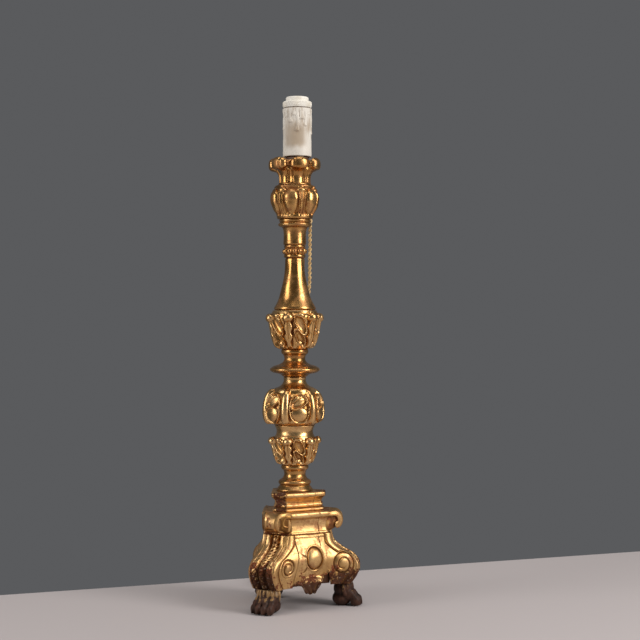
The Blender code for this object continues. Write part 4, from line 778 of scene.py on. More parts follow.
# %% Carve the cup
CUP = (
    (13, 0), (19.0, 0), (19.2, 1.0), (18.5, 2.2), (18.5, 8.6), (19.4, 12.4), (21.4, 15.2), (24.6, 17.2),
    (28.2, 18.2), (29.3, 20.4), (29.6, 24.6), (28.9, 28.4), (26.6, 30.4), (24.0, 30.8), (22.3, 28.8),
    (21.5, 26.5), (12, 26.5),
)
CUP_TURN = math.radians(-76)
UNITS = 6


def cup_relief(radius, height, angle):
    u, number = across(angle, UNITS)
    side = np.abs(u)
    rim = smooth(14.0, 18.6, height) * smooth(21.8, 23.6, radius)
    ribs = smooth(1.4, 3.4, height) * (1 - smooth(16.5, 19.0, height))
    groove = smooth(0.60, 0.74, side)
    thin_bead = ridge(side - 0.99, 0.13) + 0.7 * ridge(side - 0.76, 0.05)
    rib = -1.3 * (side / 0.7) ** 2 * (side < 0.7) - 2.5 * groove + 1.9 * thin_bead
    notch = 1 - np.sqrt(np.clip(1 - (side / 0.88) ** 3.4, 0, 1))
    crease = -0.9 * ridge(u - 0.30, 0.08) * (number == 5) - 0.6 * ridge(u + 0.34, 0.06) * (number == 0)
    tongue = -6.6 * notch + 0.6 * hand(number, 3) + 0.4 * dome((u / 0.8) ** 2) + crease
    crown = -1.3 * smooth(26.5, 30.5, height) * side**2
    return ribs * rib + rim * (tongue + crown) + 0.1 * np.sin(2 * angle)


turn_section("cup_gilt", "cup", CUP, cup_relief, CUP_TURN, 300, 1.6, 0.55)

# %% [markdown]
# ## The gadrooned knop
# Six long egg-shaped lobes stand round the knop. Between them run narrow darts with a line on either side,
# small pillows fill the gaps at the shoulder, and a groove parts the lobes from the foot.

# %% Carve the gadrooned knop
GADROON = (
    (15, 0), (19.8, 0), (20.4, 1.6), (22.0, 4.0), (25.0, 9.6), (27.4, 16.0), (28.6, 22.0), (28.6, 26.5),
    (27.4, 31.0), (24.8, 35.0), (22.8, 36.8), (22.4, KNOP_HEIGHT), (17, KNOP_HEIGHT),
)
GADROON_TURN = math.radians(-99)


def gadroon_relief(radius, height, angle):
    u, number = across(angle, UNITS)
    side = np.abs(u)
    up = (height - 19.4 - 0.4 * hand(number, 4)) / 16.6
    egg = (u / (0.62 * (1 + 0.08 * up))) ** 2 + np.abs(up) ** 2.4
    body = smooth(1.8, 5.0, height) * (1 - smooth(35.5, 37.4, height))
    ground = -3.4 * body
    lobe = 4.0 * dome(egg) ** 0.85
    dart = 2.3 * ridge(side - 1, 0.12) + 1.7 * ridge(side - 0.76, 0.05)
    dart *= body * smooth(0.62, 0.70, side) * smooth(33.5, 30.0, height)
    pillow = 3.4 * dome(((side - 1) / 0.46) ** 2 + ((height - 34.0) / 3.4) ** 2)
    return ground + np.maximum.reduce((lobe, dart, pillow)) + 0.12 * np.sin(0.6 * height + 3 * angle)


turn_section("gadroon_gilt", "gadroon_knop", GADROON, gadroon_relief, GADROON_TURN, 324, 2.0, 0.55)

# %% [markdown]
# ## Acanthus calyxes
# Two baskets of six leaves hold the shaft and the knop. A broad strap with scalloped edges is the back of
# each leaf, rolled over at its tip; between two straps a side lobe folds round a long hollow above and a
# small eye below, both leaning one way. One relief function of the place across and along a leaf serves both.

# %% Carve the leaves


def along_curve(points, place):
    """A smooth curve through (place, height) points, for arrays."""
    spots, values = np.array(points, float).T
    last = len(spots) - 1
    low, high = np.maximum(np.arange(last + 1) - 1, 0), np.minimum(np.arange(last + 1) + 1, last)
    slopes = (values[high] - values[low]) / (spots[high] - spots[low])
    place = np.clip(place, spots[0], spots[-1])
    i = np.clip(np.searchsorted(spots, place) - 1, 0, last - 1)
    span = spots[i + 1] - spots[i]
    s = (place - spots[i]) / span
    level = values[i] + (values[i + 1] - values[i]) * s * s * (3 - 2 * s)
    return level + s * (1 - s) ** 2 * span * slopes[i] + s * s * (s - 1) * span * slopes[i + 1]


def leaf_strap(u, v):
    """The scalloped back of a leaf, centred where two side lobes meet, and its rolled tip."""
    off = 1 - np.abs(u)
    half = 0.29 + 0.06 * np.cos(math.tau * 3.4 * v) - 0.09 * smooth(0.35, 0.0, v)
    strap = (3.4 + 1.6 * dome((off / half) ** 2)) * smooth(-0.06, 0.03, half - off)
    crease = -0.9 * ridge(off, 0.05) * smooth(0.15, 0.3, v)
    roll = 7.4 * dome((off / 0.46) ** 2 + ((v - 0.87) / 0.15) ** 2)
    return np.maximum((strap + crease) * (1 - smooth(0.86, 0.94, v)), roll)


def side_lobe(u, v):
    """The folded lobe between two straps: a long hollow, an eye, and the rims round them."""
    bend = u - 0.08 * np.sin(math.tau * 0.9 * v)
    upper = np.sqrt(((bend - 0.05) / 0.40) ** 2 + ((v - 0.68 + 0.30 * u) / 0.21) ** 2)
    lower = np.sqrt(((bend + 0.02) / 0.42) ** 2 + ((v - 0.27 + 0.34 * u) / 0.15) ** 2)
    leaf = 1.0 - 1.0 * (1 - smooth(0.3, 1.0, upper)) - 1.8 * (1 - smooth(0.3, 0.95, lower))
    rims = np.maximum(4.4 * ridge(upper - 1.14, 0.17), 4.2 * ridge(lower - 1.20, 0.20))
    foot = 3.0 * dome((u / 0.42) ** 2 + ((v - 0.05) / 0.12) ** 2)
    curl = 4.6 * dome((u / 0.36) ** 2 + ((v - 0.95) / 0.09) ** 2)
    inside = smooth(0.68, 0.58, np.abs(u))
    return np.maximum.reduce((leaf, rims, foot, curl)) * inside


def calyx_relief(foot, tip, ground, seed):
    def relief(radius, height, angle):
        u, number = across(angle, UNITS)
        v = (height - foot) / (tip - foot) + 0.015 * hand(number, seed)
        sunk = smooth(-0.06, 0.06, v) * (1 - smooth(1.0, 1.07, v))
        return (np.maximum(leaf_strap(u, v), side_lobe(u, v)) - ground) * sunk

    return relief


UPPER_CALYX = (
    (15, 0), (18.6, 0), (20.6, 1.8), (22.8, 4.4), (24.6, 8.6), (26.4, 15.0), (27.8, 23.0), (29.2, 30.0),
    (30.2, 35.0), (30.2, 38.6), (28.4, 40.8), (26.4, 41.8), (25.4, 43.0), (25.2, 44.2), (20, 44.2),
)
LOWER_CALYX = (
    (13, 0), (16.6, 0), (18.6, 1.8), (20.6, 4.8), (22.6, 9.2), (24.4, 15.6), (25.8, 21.5), (27.0, 26.4),
    (26.8, 29.6), (24.4, 31.8), (22.0, 33.6), (20.9, 37.0), (21.0, 40.4), (22.4, 43.6), (23.5, 45.7),
    (18, 45.7),
)
UPPER_TURN = math.radians(-75)
LOWER_TURN = math.radians(-77)

carve = calyx_relief(2.0, 40.5, 3.2, 6)
turn_section("upper_calyx_gilt", "upper_calyx", UPPER_CALYX, carve, UPPER_TURN, 400, 2.5, 0.5, leaf_gold)
carve = calyx_relief(1.6, 31.0, 3.0, 7)
turn_section("lower_calyx_gilt", "lower_calyx", LOWER_CALYX, carve, LOWER_TURN, 360, 2.5, 0.5, leaf_gold)

# %% [markdown]
# ## The great knop
# Six ovals framed by a thin rim alternate with plain rounded straps. In each oval a smooth bulb swells from
# below, and over it a leaf folds back round a dark lens-shaped hollow with a little ball at its top.

# %% Carve the great knop
GREAT_KNOP = (
    (20, 0), (24.4, 0), (25.0, 1.0), (28.6, 1.8), (32.4, 3.6), (34.4, 7.4), (35.3, 13.0), (35.3, 19.0),
    (34.6, 25.0), (33.0, 31.0), (30.4, 36.0), (26.4, 39.8), (21.4, 42.4), (17.6, 43.8), (14.9, 45.8),
    (13.0, 49.0), (12.6, 51.6), (13.4, 54.7), (9, 54.7),
)
KNOP_TURN = math.radians(-79)
KNOP_LEAN = -1.4


def knop_relief(radius, height, angle):
    u, number = across(angle, UNITS)
    side = np.abs(u)
    body = smooth(0.8, 3.2, height) * (1 - smooth(38.5, 42.0, height))
    up = (height - 19.6) / 18.4
    oval = np.sqrt((u / 0.70) ** 2 + np.abs(up) ** 2.4)
    ground = -3.6 * body
    strap = 4.6 * np.sqrt(np.clip(1 - ((1 - side) / 0.29) ** 2, 0, None)) * body
    rim = 3.9 * ridge(oval - 0.94, 0.07) * body
    inner = smooth(0.88, 0.78, oval)
    bulb = 3.2 * dome((u / 0.66) ** 2 + ((height - 11.0) / 10.6) ** 2) ** 0.55
    tilt = (height - 26.6 - 8.5 * u) / 5.2
    lens = np.sqrt(((u - 0.02) / 0.52) ** 2 + tilt**2)
    fold = 4.6 * ridge(lens - 1.16, 0.19) * smooth(0.9, -0.2, tilt)
    leaf = 1.2 * smooth(-0.3, 0.9, tilt) * (1 - smooth(0.8, 1.0, lens))
    ball = 4.0 * dome(((u + 0.22) / 0.18) ** 2 + ((height - 34.0) / 3.0) ** 2)
    cover = 2.4 * smooth(0.5, 0.9, tilt) * smooth(0.7, 1.1, lens)
    pattern = np.maximum.reduce((bulb, fold, ball, leaf, cover))
    lean = KNOP_LEAN * np.cos(angle + KNOP_TURN) * body
    return ground + np.maximum(strap, rim) + inner * pattern + lean


turn_section("great_knop_gilt", "leaf_knop", GREAT_KNOP, knop_relief, KNOP_TURN, 400, 2.0, 0.5, leaf_gold)

# %% [markdown]
# ## The three-sided base
# The base is a block with three bellied panels; a leg shaped like a scroll is glued to each corner. The
# contours are those of the solids, repeated as smooth curves of the share of the leg's height, so that panel
# and leg meet at their glue line. Relief is then cut square to each face.

# %% Contours of the base
SIDES = ("right", "back", "front")
LEG_HEIGHT = 58.0
LEG_FOOT = top_of("leg_right") - LEG_HEIGHT
LEG_HALF_WIDTH = 15.0
CORNER = math.radians(60)
FACE_COS, FACE_SIN = math.cos(CORNER), math.sin(CORNER)
LEG_CONTOUR = (
    (0.0, 64.0), (0.07, 66.85), (0.20, 71.4), (0.33, 73.5), (0.43, 72.2), (0.55, 66.0), (0.66, 55.2),
    (0.81, 44.5), (1.0, 41.0),
)
PANEL_CONTOUR = ((-0.3, 38.5), (0.1, 38.5), (0.55, 42.0), (1.0, 34.0))
EYE_HEIGHT = 23.0
EYES = {"right": (55.5, 11.0), "back": (53.0, 7.5), "front": (49.5, 8.0)}
CABOCHON = (2.4, 31.6)


def leg_reach(share):
    return along_curve(LEG_CONTOUR, share)


def front_edge(share):
    """A face's distance from the axis and its half length, where it meets the leg's front."""
    face = leg_reach(share) * FACE_COS + LEG_HALF_WIDTH * FACE_SIN
    return face, (leg_reach(share) - face * FACE_COS) / FACE_SIN


def face_depth(along, share):
    face, half = front_edge(share)
    belly = along_curve(PANEL_CONTOUR, share)
    return belly + (face - belly) * np.minimum(1.0, (along / half) ** 2)


def glue_line(share):
    """Where, along a face, the block ends and the leg begins."""
    reach = 41.0 - 8.0 * share
    along = reach / 2
    for _ in range(6):
        along = (reach - face_depth(along, share) * FACE_COS) / FACE_SIN
    return along


def scroll_eye(along, share, reach, radius):
    """Relief of the scroll on a face: a boss wound by an incised line, and a border along the leg's edge."""
    height = share * LEG_HEIGHT
    depth = face_depth(along, share)
    out = np.abs(along) - (reach - depth * FACE_COS) / FACE_SIN
    up = height - EYE_HEIGHT
    away = np.hypot(out, up)
    angle = np.arctan2(up, -out) / math.tau
    boss = 1.9 * dome((away / (0.9 * radius)) ** 2) ** 1.3
    pitch = 0.50 * radius
    winding = (away - 0.55 * radius) / pitch - angle
    line_off = np.abs(winding - np.round(winding)) * pitch
    wound = smooth(0.3, 0.55, away / radius) * (1 - smooth(1.15, 1.5, away / radius))
    incised = -1.9 * ridge(line_off, 0.75) * wound
    edge = front_edge(share)[1] - np.abs(along)
    clear = smooth(1.1, 1.6, away / radius)
    border = 1.9 * dome(((edge - 4.4) / 4.8) ** 2) - 1.7 * ridge(edge - 9.9, 0.9)
    field = -0.8 * smooth(9.0, 11.0, edge)
    return boss + incised + clear * (border + field) - (1 - clear) * 0.8


print("leg reaches", round(float(leg_reach(np.array(0.33))), 1), "mm at the knee")

# %% Carve the block
CRACK_AT = 12.0
PENDANT_DROP = 10.0
PENDANT_HALF = 15.0


def panel_relief(along, height):
    u, v = along - CABOCHON[0], height - CABOCHON[1]
    oval = np.sqrt((u / 9.0) ** 2 + (v / 11.4) ** 2)
    stone = 3.2 * dome(oval**2) - 1.6 * ridge(oval - 1.08, 0.07) + 0.9 * ridge(oval - 1.24, 0.09)
    shell_angle = np.arctan2(along - 2.0, height + 13.0)
    shell = smooth(10.5, 5.0, height) * smooth(15.0, 10.0, np.abs(along - 1.0))
    ribs = 0.8 * np.abs(np.cos(6.5 * shell_angle)) + 0.6
    brow = 0.8 * ridge(height - 10.5 + 0.012 * (along - 1.0) ** 2, 1.1)
    brow *= smooth(15.0, 11.0, np.abs(along - 1.0))
    lip = 0.7 * ridge(height - 56.0, 1.2)
    away = np.hypot((along + 17.0) / 0.9, height - 26.0)
    arc = -0.9 * ridge(away - 11.5, 0.7) * smooth(-16, -11, along) * smooth(14, 18, height)
    wobble = 0.3 * np.sin(0.21 * along + 0.13 * height) + 0.24 * np.sin(0.37 * height - 0.17 * along + 1.0)
    return stone + shell * ribs + brow + lip + arc + wobble


def lost_corner(along, height):
    """Where the lower right of the front panel has broken away: how far inside the break a point lies."""
    edge = -2.0 + 1.22 * (along - 7.0) + 1.1 * np.sin(0.9 * along)
    return edge - height


def crack(along, height, start, end, place):
    """A split in the wood: 1 on its wandering line, between two heights."""
    wander_line = place + 0.35 * np.sin(0.31 * height) + 0.2 * np.sin(0.83 * height + 1.0)
    span = smooth(start - 2, start + 1, height) * (1 - smooth(end - 1, end + 2, height))
    return ridge(along - wander_line, 0.36) * span


def carve_block():
    rows, columns = 92, 72
    shares = np.linspace(0, 1, rows)
    rings, marks = [], []
    for share in shares:
        ring, mark = [], []
        for k in range(3):
            turn = CORNER + k * math.tau / 3
            normal = np.array((math.cos(turn), math.sin(turn), 0))
            side = np.array((-math.sin(turn), math.cos(turn), 0))
            along = np.linspace(-1, 1, columns) * glue_line(share)
            hang = np.clip(1 - np.abs(along) / PENDANT_HALF, 0, None)
            low = 1.5 - PENDANT_DROP * smooth(0, 1, 1.6 * hang) + 0.8 * np.sin(along * 0.9) * (hang > 0)
            height = low + (LEG_HEIGHT - low) * share
            level = np.maximum(0.0, height / LEG_HEIGHT)
            split = crack(along, height, 44, 60, CRACK_AT) if k == 2 else 0 * along
            depth = face_depth(along, level) + panel_relief(along, height) - 0.5 * split
            broken = lost_corner(along, height) if k == 2 else 0 * along - 99
            depth += 1.3 * ridge(broken + 1.6, 1.3) - 2.4 * smooth(-0.4, 2.0, broken)
            flat = normal * depth[:, None] + side * along[:, None]
            ring.append(flat + np.array((0, 0, 1.0)) * (height + LEG_FOOT)[:, None])
            worn = 0.10 + 0.55 * smooth(8, -6, height) + 0.42 * smooth(24, 8, height)
            mark.append(np.clip(worn + smooth(-0.6, 0.6, broken) + 0.7 * split, 0, 1))
        rings.append(np.vstack(ring))
        marks.append(np.concatenate(mark))
    inside = rings[0] * np.array((0.8, 0.8, 0)) + np.array((0, 0, LEG_FOOT + 12.0))
    rings = [inside, *rings]
    marks = [0 * marks[0] + 0.9, *marks]
    return np.vstack(rings), tube_faces(len(rings), 3 * columns), np.concatenate(marks)


points, faces, worn = carve_block()
dress("base_block", from_stem(points), faces, ("base_body",), base_gold, marks={"worn": worn})

# %% [markdown]
# ## Legs
# Each leg is one carved piece: flanks with the scroll's eye, and a front strip where a chain of pearls lies
# between two deep grooves. The front has lost most of its gold, so the mark "worn" rises towards the foot.

# %% Carve the legs
PEARL_SPACING = 5.6
BARE_FLANK = {"right": 0.42, "back": 0.10, "front": 0.10}


def strip_relief(across_strip, run):
    """The leg's front: a knobbly chain of pearls and husks between two deep grooves, and carved sides."""
    side = np.abs(across_strip)
    bead = run / PEARL_SPACING + 0.12 * np.sin(0.5 * run)
    number = np.floor(bead)
    beat = bead - number - 0.5
    size = 2.9 + 0.5 * hand(number, 2)
    off = (across_strip - 0.5 * hand(number, 3)) / size
    pearl = 3.4 * dome(off**2 + (beat * PEARL_SPACING / 2.6) ** 2)
    husk_beat = (bead + 0.5) % 1 - 0.5
    husk = 2.0 * dome(((side - 2.9) / 1.7) ** 2 + (husk_beat * PEARL_SPACING / 2.2) ** 2)
    groove = -4.2 * smooth(2.2, 3.8, side) * (1 - smooth(5.4, 7.4, side)) - 1.5 * (1 - smooth(2.2, 3.8, side))
    body = 1.5 * dome(((side - 10.0) / 4.2) ** 2)
    leaf = (run / 9.0 + 0.10 * (side - 10.0)) % 1
    cut = -1.6 * ridge(leaf - 0.5, 0.10) * dome(((side - 9.6) / 3.8) ** 2) * smooth(60, 42, run)
    line = -1.2 * ridge(side - 12.0, 0.6)
    return np.maximum(pearl, husk) + groove + body + cut + line


def carve_leg(turn, bare, eye):
    rows, flank_columns, strip_columns = 110, 44, 84
    shares = np.linspace(0, 1, rows)
    reach = leg_reach(shares)
    steps = np.hypot(np.diff(reach), np.diff(shares) * LEG_HEIGHT)
    runs = np.concatenate(([0], np.cumsum(steps)))
    rings, marks = [], []
    for share, run in zip(shares, runs):
        height = share * LEG_HEIGHT
        start, end = glue_line(share) + 0.35, front_edge(share)[1]
        along = np.linspace(start, end, flank_columns)
        lift = scroll_eye(along, share + 0 * along, *eye) * smooth(0.0, 1.5, end - along)
        depth = face_depth(along, share) + lift
        out, away = depth * FACE_COS + along * FACE_SIN, depth * FACE_SIN - along * FACE_COS
        strip = np.linspace(-LEG_HALF_WIDTH, LEG_HALF_WIDTH, strip_columns)[1:-1]
        fade = smooth(LEG_HALF_WIDTH, LEG_HALF_WIDTH - 1.5, np.abs(strip))
        front = leg_reach(share) + strip_relief(strip, run) * fade
        x = np.concatenate((out, front, out[::-1]))
        y = np.concatenate((-away, strip, away[::-1]))
        rings.append(np.column_stack((x, y, 0 * x + height + LEG_FOOT)))
        flank_worn = bare * smooth(0.42, 0.22, share) * smooth(48, 24, end - along)
        flank_worn += 0.16 + 0.1 * smooth(0.35, 0.1, share)
        strip_worn = 0.48 + 0.25 * smooth(0.55, 0.1, share) - 0.42 * smooth(0.40, 0.70, share) + 0 * strip
        strip_worn += 0.25 * ridge(np.abs(strip) - 4.6, 1.6)
        marks.append(np.concatenate((flank_worn, strip_worn, flank_worn[::-1])))
    worn = np.clip(np.concatenate(marks), 0, 1)
    return spun(np.vstack(rings), turn), tube_faces(rows, len(rings[0])), worn


for number, side in enumerate(SIDES):
    points, faces, worn = carve_leg(number * math.tau / 3, BARE_FLANK[side], EYES[side])
    name, node = f"leg_{side}_gilt", f"leg_{side}"
    dress(name, from_stem(points), faces, (node,), base_gold, marks={"worn": worn})

# %% [markdown]
# ## Scroll cap and plinth
# A three-sided cap with a bead below and a band above closes the base; at each corner the band rolls over
# into a volute. A moulded plinth stands on it. Both follow a joiner's outline round a triangle with cut
# corners.

# %% Shape the cap and the plinth
CAP = (
    (26, 0), (34.8, 0), (35.4, 1.2), (34.9, 2.5), (33.9, 3.1), (33.4, 6.0), (33.1, 10.0), (33.3, 14.0),
    (34.2, 17.4), (36.0, 18.8), (36.7, 19.8), (36.9, 22.2), (36.4, 24.0), (35.4, 24.6), (24, 24.6),
)
PLINTH = (
    (16, 0), (24.6, 0), (24.8, 2.7), (22.2, 3.4), (21.6, 4.3), (22.9, 4.9), (23.3, 6.4), (22.9, 7.9),
    (21.6, 8.6), (21.7, 10.4), (22.5, 12.6), (24.2, 14.8), (26.0, 16.0), (26.5, 17.0), (26.6, 19.4),
    (25.9, 20.7), (25.2, 21.0), (16, 21.0),
)
CAP_CORNER = 4.0
PLINTH_CORNER = 9.2


def triangle_ring(face, extra, columns=84, cut_columns=28, rounding=10):
    """Points round a triangle with cut corners, with the face each belongs to and the place along it."""
    corner = face + extra
    half = (corner - face * FACE_COS) / FACE_SIN
    points, number, along = [], [], []
    for k in range(3):
        turn = CORNER + k * math.tau / 3
        normal, side = np.array((math.cos(turn), math.sin(turn))), np.array((-math.sin(turn), math.cos(turn)))
        later = turn + math.tau / 3
        ahead = np.array((math.cos(later), math.sin(later))) * face
        ahead -= np.array((-math.sin(later), math.cos(later))) * half
        place = np.linspace(-half, half, columns)
        edge = normal * face + side * place[:, None]
        share = np.linspace(0, 1, cut_columns + 2)[1:-1, None]
        points += [edge, edge[-1] + (ahead - edge[-1]) * share]
        number += [np.full(columns, k), np.full(cut_columns, -1)]
        along += [place, np.full(cut_columns, 99.0)]
    ring = np.vstack(points)
    for _ in range(rounding):
        ring = 0.5 * ring + 0.25 * (np.roll(ring, 1, axis=0) + np.roll(ring, -1, axis=0))
    return ring, np.concatenate(number), np.concatenate(along)


def moulded(outline, seat, extra, crack_place, worn_cut, soften=0.9, step=0.55):
    profile = fine_outline(outline, step, soften)
    rings, marks = [], []
    for face, height in profile:
        ring, number, along = triangle_ring(face, extra)
        split = np.where(number == 2, crack(along, height + seat, 0, 999, crack_place), 0)
        away = ring / np.linalg.norm(ring, axis=1)[:, None]
        sag = 0.25 * np.sin(0.11 * along + number) + 0.12 * np.sin(0.5 * height + 0.07 * along)
        sag = np.where(number >= 0, sag, -0.4)
        ring = ring + away * (sag - 0.5 * split)[:, None]
        rings.append(np.column_stack((ring, np.full(len(ring), height + seat))))
        marks.append(np.clip(np.where(number < 0, worn_cut, 0.08) + 0.6 * split, 0, 1))
    return np.vstack(rings), tube_faces(len(rings), len(rings[0])), np.concatenate(marks)


CAP_SEAT = top_of("scroll_cap") - CAP[-1][1]
PLINTH_SEAT = top_of("plinth") - PLINTH[-1][1]
points, faces, worn = moulded(PLINTH, PLINTH_SEAT, PLINTH_CORNER, 12.5, 0.62)
dress("plinth_gilt", from_stem(points), faces, ("plinth",), base_gold, marks={"worn": worn})

# %% Roll the volutes
HOOK = {
    "centre": (46.0, 14.0), "across": 5.9, "down": 7.2, "sweep": 178, "thin": 3.1, "bulb": 4.8,
    "channel": 0.6, "groove": 1.6, "aside": 0.0, "cut": 0.5, "inside": 0.0, "web": 0.42, "web_side": 33.2,
}
CRESCENT = {
    "centre": (44.6, 14.0), "across": 5.6, "down": 6.2, "sweep": 215, "thin": 4.2, "bulb": 4.8,
    "channel": 2.4, "groove": 4.0, "aside": 0.28, "cut": 0.26, "inside": -0.7, "web": -0.7, "web_side": 36.0,
}
BAND_HALF_THICK = 3.2
VOLUTE_SIDE = 36.2
WALL_SIDE = 32.6
WEB_ROWS = 20
WEB_COLUMNS = 40


def volute_line(form):
    """Middle line of the rolled band, as (reach, height), and its half thickness, which ends in a bulb."""
    centre = np.array(form["centre"])
    share = np.linspace(0, 1, 64)
    angle = math.pi / 2 - math.radians(form["sweep"]) * share
    thick = form["thin"] + (BAND_HALF_THICK - form["thin"]) * smooth(0.3, 0.0, share)
    thick += (form["bulb"] - form["thin"]) * smooth(0.55, 0.92, share)
    across_roll = form["across"] - 0.6 * (thick - form["thin"])
    down_roll = form["down"] - 0.6 * (thick - form["thin"])
    down_roll += (24.4 - BAND_HALF_THICK - centre[1] - form["down"]) * smooth(0.4, 0.0, share)
    rolled = np.column_stack((np.cos(angle) * across_roll, np.sin(angle) * down_roll)) + centre
    straight = np.column_stack((np.linspace(24, centre[0], 24)[:-1], np.full(23, rolled[0, 1])))
    line = np.vstack((straight, rolled))
    thick = np.concatenate((np.full(23, BAND_HALF_THICK), thick))
    left = np.concatenate(([0], np.cumsum(np.linalg.norm(np.diff(line, axis=0)[::-1], axis=1))))[::-1] + 0.05
    rounded = np.sqrt(np.clip(1 - (1 - np.minimum(1, left / form["bulb"])) ** 2, 0, 1))
    return line, thick * rounded


def roll_volute(turn, form):
    """The rolled band itself: points, rows, columns and how bare the wood is."""
    line, thick = volute_line(form)
    ahead = np.gradient(line, axis=0)
    ahead /= np.linalg.norm(ahead, axis=1)[:, None]
    outward = np.column_stack((-ahead[:, 1], ahead[:, 0]))
    round_band = math.tau * np.arange(96) / 96
    wide = np.sign(np.cos(round_band)) * np.abs(np.cos(round_band)) ** 0.22
    deep = np.sign(np.sin(round_band)) * np.abs(np.sin(round_band)) ** 0.45
    rings, marks = [], []
    for spot, side, half in zip(line, outward, thick):
        front = smooth(36, 45, spot[0])
        dip = form["groove"] * front + 0.6
        cut = ridge(wide - form["aside"], form["cut"])
        outer = (deep > 0) * (0.7 * ridge(np.abs(wide) - 0.84, 0.10) - dip * cut)
        place = spot + side * (deep * half + outer * min(1.0, half / BAND_HALF_THICK))[:, None]
        width = (VOLUTE_SIDE - place[:, 0] * FACE_COS) / FACE_SIN
        width -= form["channel"] * smooth(-0.1, 0.35, deep) * smooth(38, 44, place[:, 0])
        rings.append(np.column_stack((place[:, 0], -wide * width, place[:, 1] + CAP_SEAT)))
        marks.append(0.03 + np.where(deep > 0, 0.2 * form["groove"] * front * cut, form["inside"]))
    return spun(np.vstack(rings), turn), len(rings), len(wide), np.concatenate(marks)


def fill_web(turn, form):
    """The hollowed wood between the cap's wall and the rolled end of the band."""
    reach = np.linspace(28, 50.5, WEB_ROWS)
    low, high = 1.6 + 5.0 * smooth(38, 52, reach), 20.0
    turn_round = math.tau * np.arange(WEB_COLUMNS) / WEB_COLUMNS
    wide = np.sign(np.cos(turn_round)) * np.abs(np.cos(turn_round)) ** 0.25
    deep = np.sign(np.sin(turn_round)) * np.abs(np.sin(turn_round)) ** 0.25
    side = WALL_SIDE + (form["web_side"] - WALL_SIDE) * smooth(39, 43, reach)
    half_width = (side - reach * FACE_COS) / FACE_SIN
    x = np.repeat(reach[:, None], WEB_COLUMNS, axis=1)
    y = -wide[None, :] * half_width[:, None]
    z = 0.5 * (low + high)[:, None] + 0.5 * (high - low)[:, None] * deep[None, :] + CAP_SEAT
    points = np.stack((x, y, z), axis=-1).reshape(-1, 3)
    worn = np.repeat(form["web"] * smooth(33, 40, reach), WEB_COLUMNS)
    return spun(points, turn), WEB_ROWS, WEB_COLUMNS, worn


points, faces, worn = moulded(CAP, CAP_SEAT, CAP_CORNER, 12.2, 0.5)
for k in range(3):
    for shape in (roll_volute, fill_web):
        more, rows, columns, bare = shape(k * math.tau / 3, CRESCENT if k == 2 else HOOK)
        faces += tube_faces(rows, columns, len(points))
        points = np.vstack((points, more))
        worn = np.concatenate((worn, bare))
cap_marks = {"worn": worn}
dress("scroll_cap_gilt", from_stem(points), faces, ("scroll_cap",), base_gold, marks=cap_marks)

# %% [markdown]
# ## Lion paws
# The feet have lost nearly all their gold: dark wood, four rounded toes with blunt claws, tufts of fur round
# the ankle. Such a form has no outline to turn or loft, so it is heaped up from ellipsoids as a modeller adds
# clay, melted into one skin by a voxel remesh, and smoothed. One paw is made and turned to each leg.

# %% Worn wood of the paws
# near black for the deepest creases of the paws
CREASE_BLACK = (0.014, 0.008, 0.005)
WOOD_DARK = (0.018, 0.009, 0.006)
WOOD_BROWN = (0.068, 0.027, 0.016)
OLD_GOLD = (0.38, 0.225, 0.095)
OLD_GESSO = (0.40, 0.36, 0.31)


def make_paw_finish():
    made = Finish("worn_paw")
    hollow, kept = made.mark("hollow"), made.mark("kept")
    broad, fine = made.noise(90, 5, 0.6), made.noise(620, 4)
    grain = made.noise(240, 4, 0.6, made.stretched(1.0, 1.0, 0.25))
    wood = made.mix(made.step(0.6 * grain + 0.4 * broad, 0.35, 0.65), WOOD_DARK, WOOD_BROWN)
    raised = -0.5 * hollow + 1.3 * (broad - 0.5) + 0.5 * (fine - 0.5)
    gold = made.step(raised + 0.56 * kept, 0.36, 0.66) * 0.85
    chalk = made.step(raised + 0.5 * kept + 0.5 * (grain - 0.5), 0.66, 0.86) * 0.35
    colour = made.mix(gold, wood, OLD_GOLD)
    colour = made.mix(chalk, colour, OLD_GESSO)
    # Near black where the creases lie deepest, by hollow depth alone.
    colour = made.mix(made.step(hollow + 0.3 * (fine - 0.5), 0.1, 0.6), colour, CREASE_BLACK)
    made.give(Base_Color=colour, Metallic=0.55 * gold * (1 - chalk), Specular_IOR_Level=0.2)
    made.give(Roughness=0.52 + 0.25 * (fine - 0.5) - 0.1 * gold)
    return made.bump(0.6 * grain + 0.5 * fine + 0.6 * broad, 0.3, 0.6)


paw_finish = make_paw_finish()
print("paw finish made")

# %% Heap up one paw
PAW_HEIGHT = 26.5
PAW_REACH = 77.6
LOST_GOLD = {"right": 0.6, "back": 0.6, "front": 0.0}
TOES = ((-10.6, 69.4), (-3.7, 71.6), (3.7, 71.6), (10.6, 69.4))


def paw_lumps():
    """Ellipsoids of one paw on the +X side: middle and radii, in millimetres."""
    lumps = [((54.0, 0, 8.0), (11.0, 13.0, 9.0)), ((55.5, 0, 19.0), (11.0, 12.6, 11.0))]
    lumps += [((56.0, 0, 27.0), (10.0, 12.4, 8.0)), ((61.0, 0, 13.0), (9.0, 12.6, 8.5))]
    for y, reach in TOES:
        lumps.append(((reach - 8.0, 0.92 * y, 13.0), (8.0, 4.0, 6.6)))
        lumps.append(((reach - 3.4, y, 11.4), (4.8, 3.7, 4.4)))
        lumps.append(((reach, y, 6.0), (6.0, 3.9, 6.0)))
        lumps.append(((reach + 4.0, y, 3.4), (3.2, 1.7, 2.6)))
    for k in range(-4, 5):
        angle = 0.36 * k
        x, y = 54.5 + 11.2 * math.cos(angle), 13.0 * math.sin(angle)
        lumps.append(((x, y, 20.5 + 1.4 * (k % 2)), (2.4, 2.4, 6.2)))
        lumps.append(((x + 0.8, 1.02 * y, 15.6 - 1.2 * (k % 2)), (1.9, 1.9, 4.2)))
    return lumps


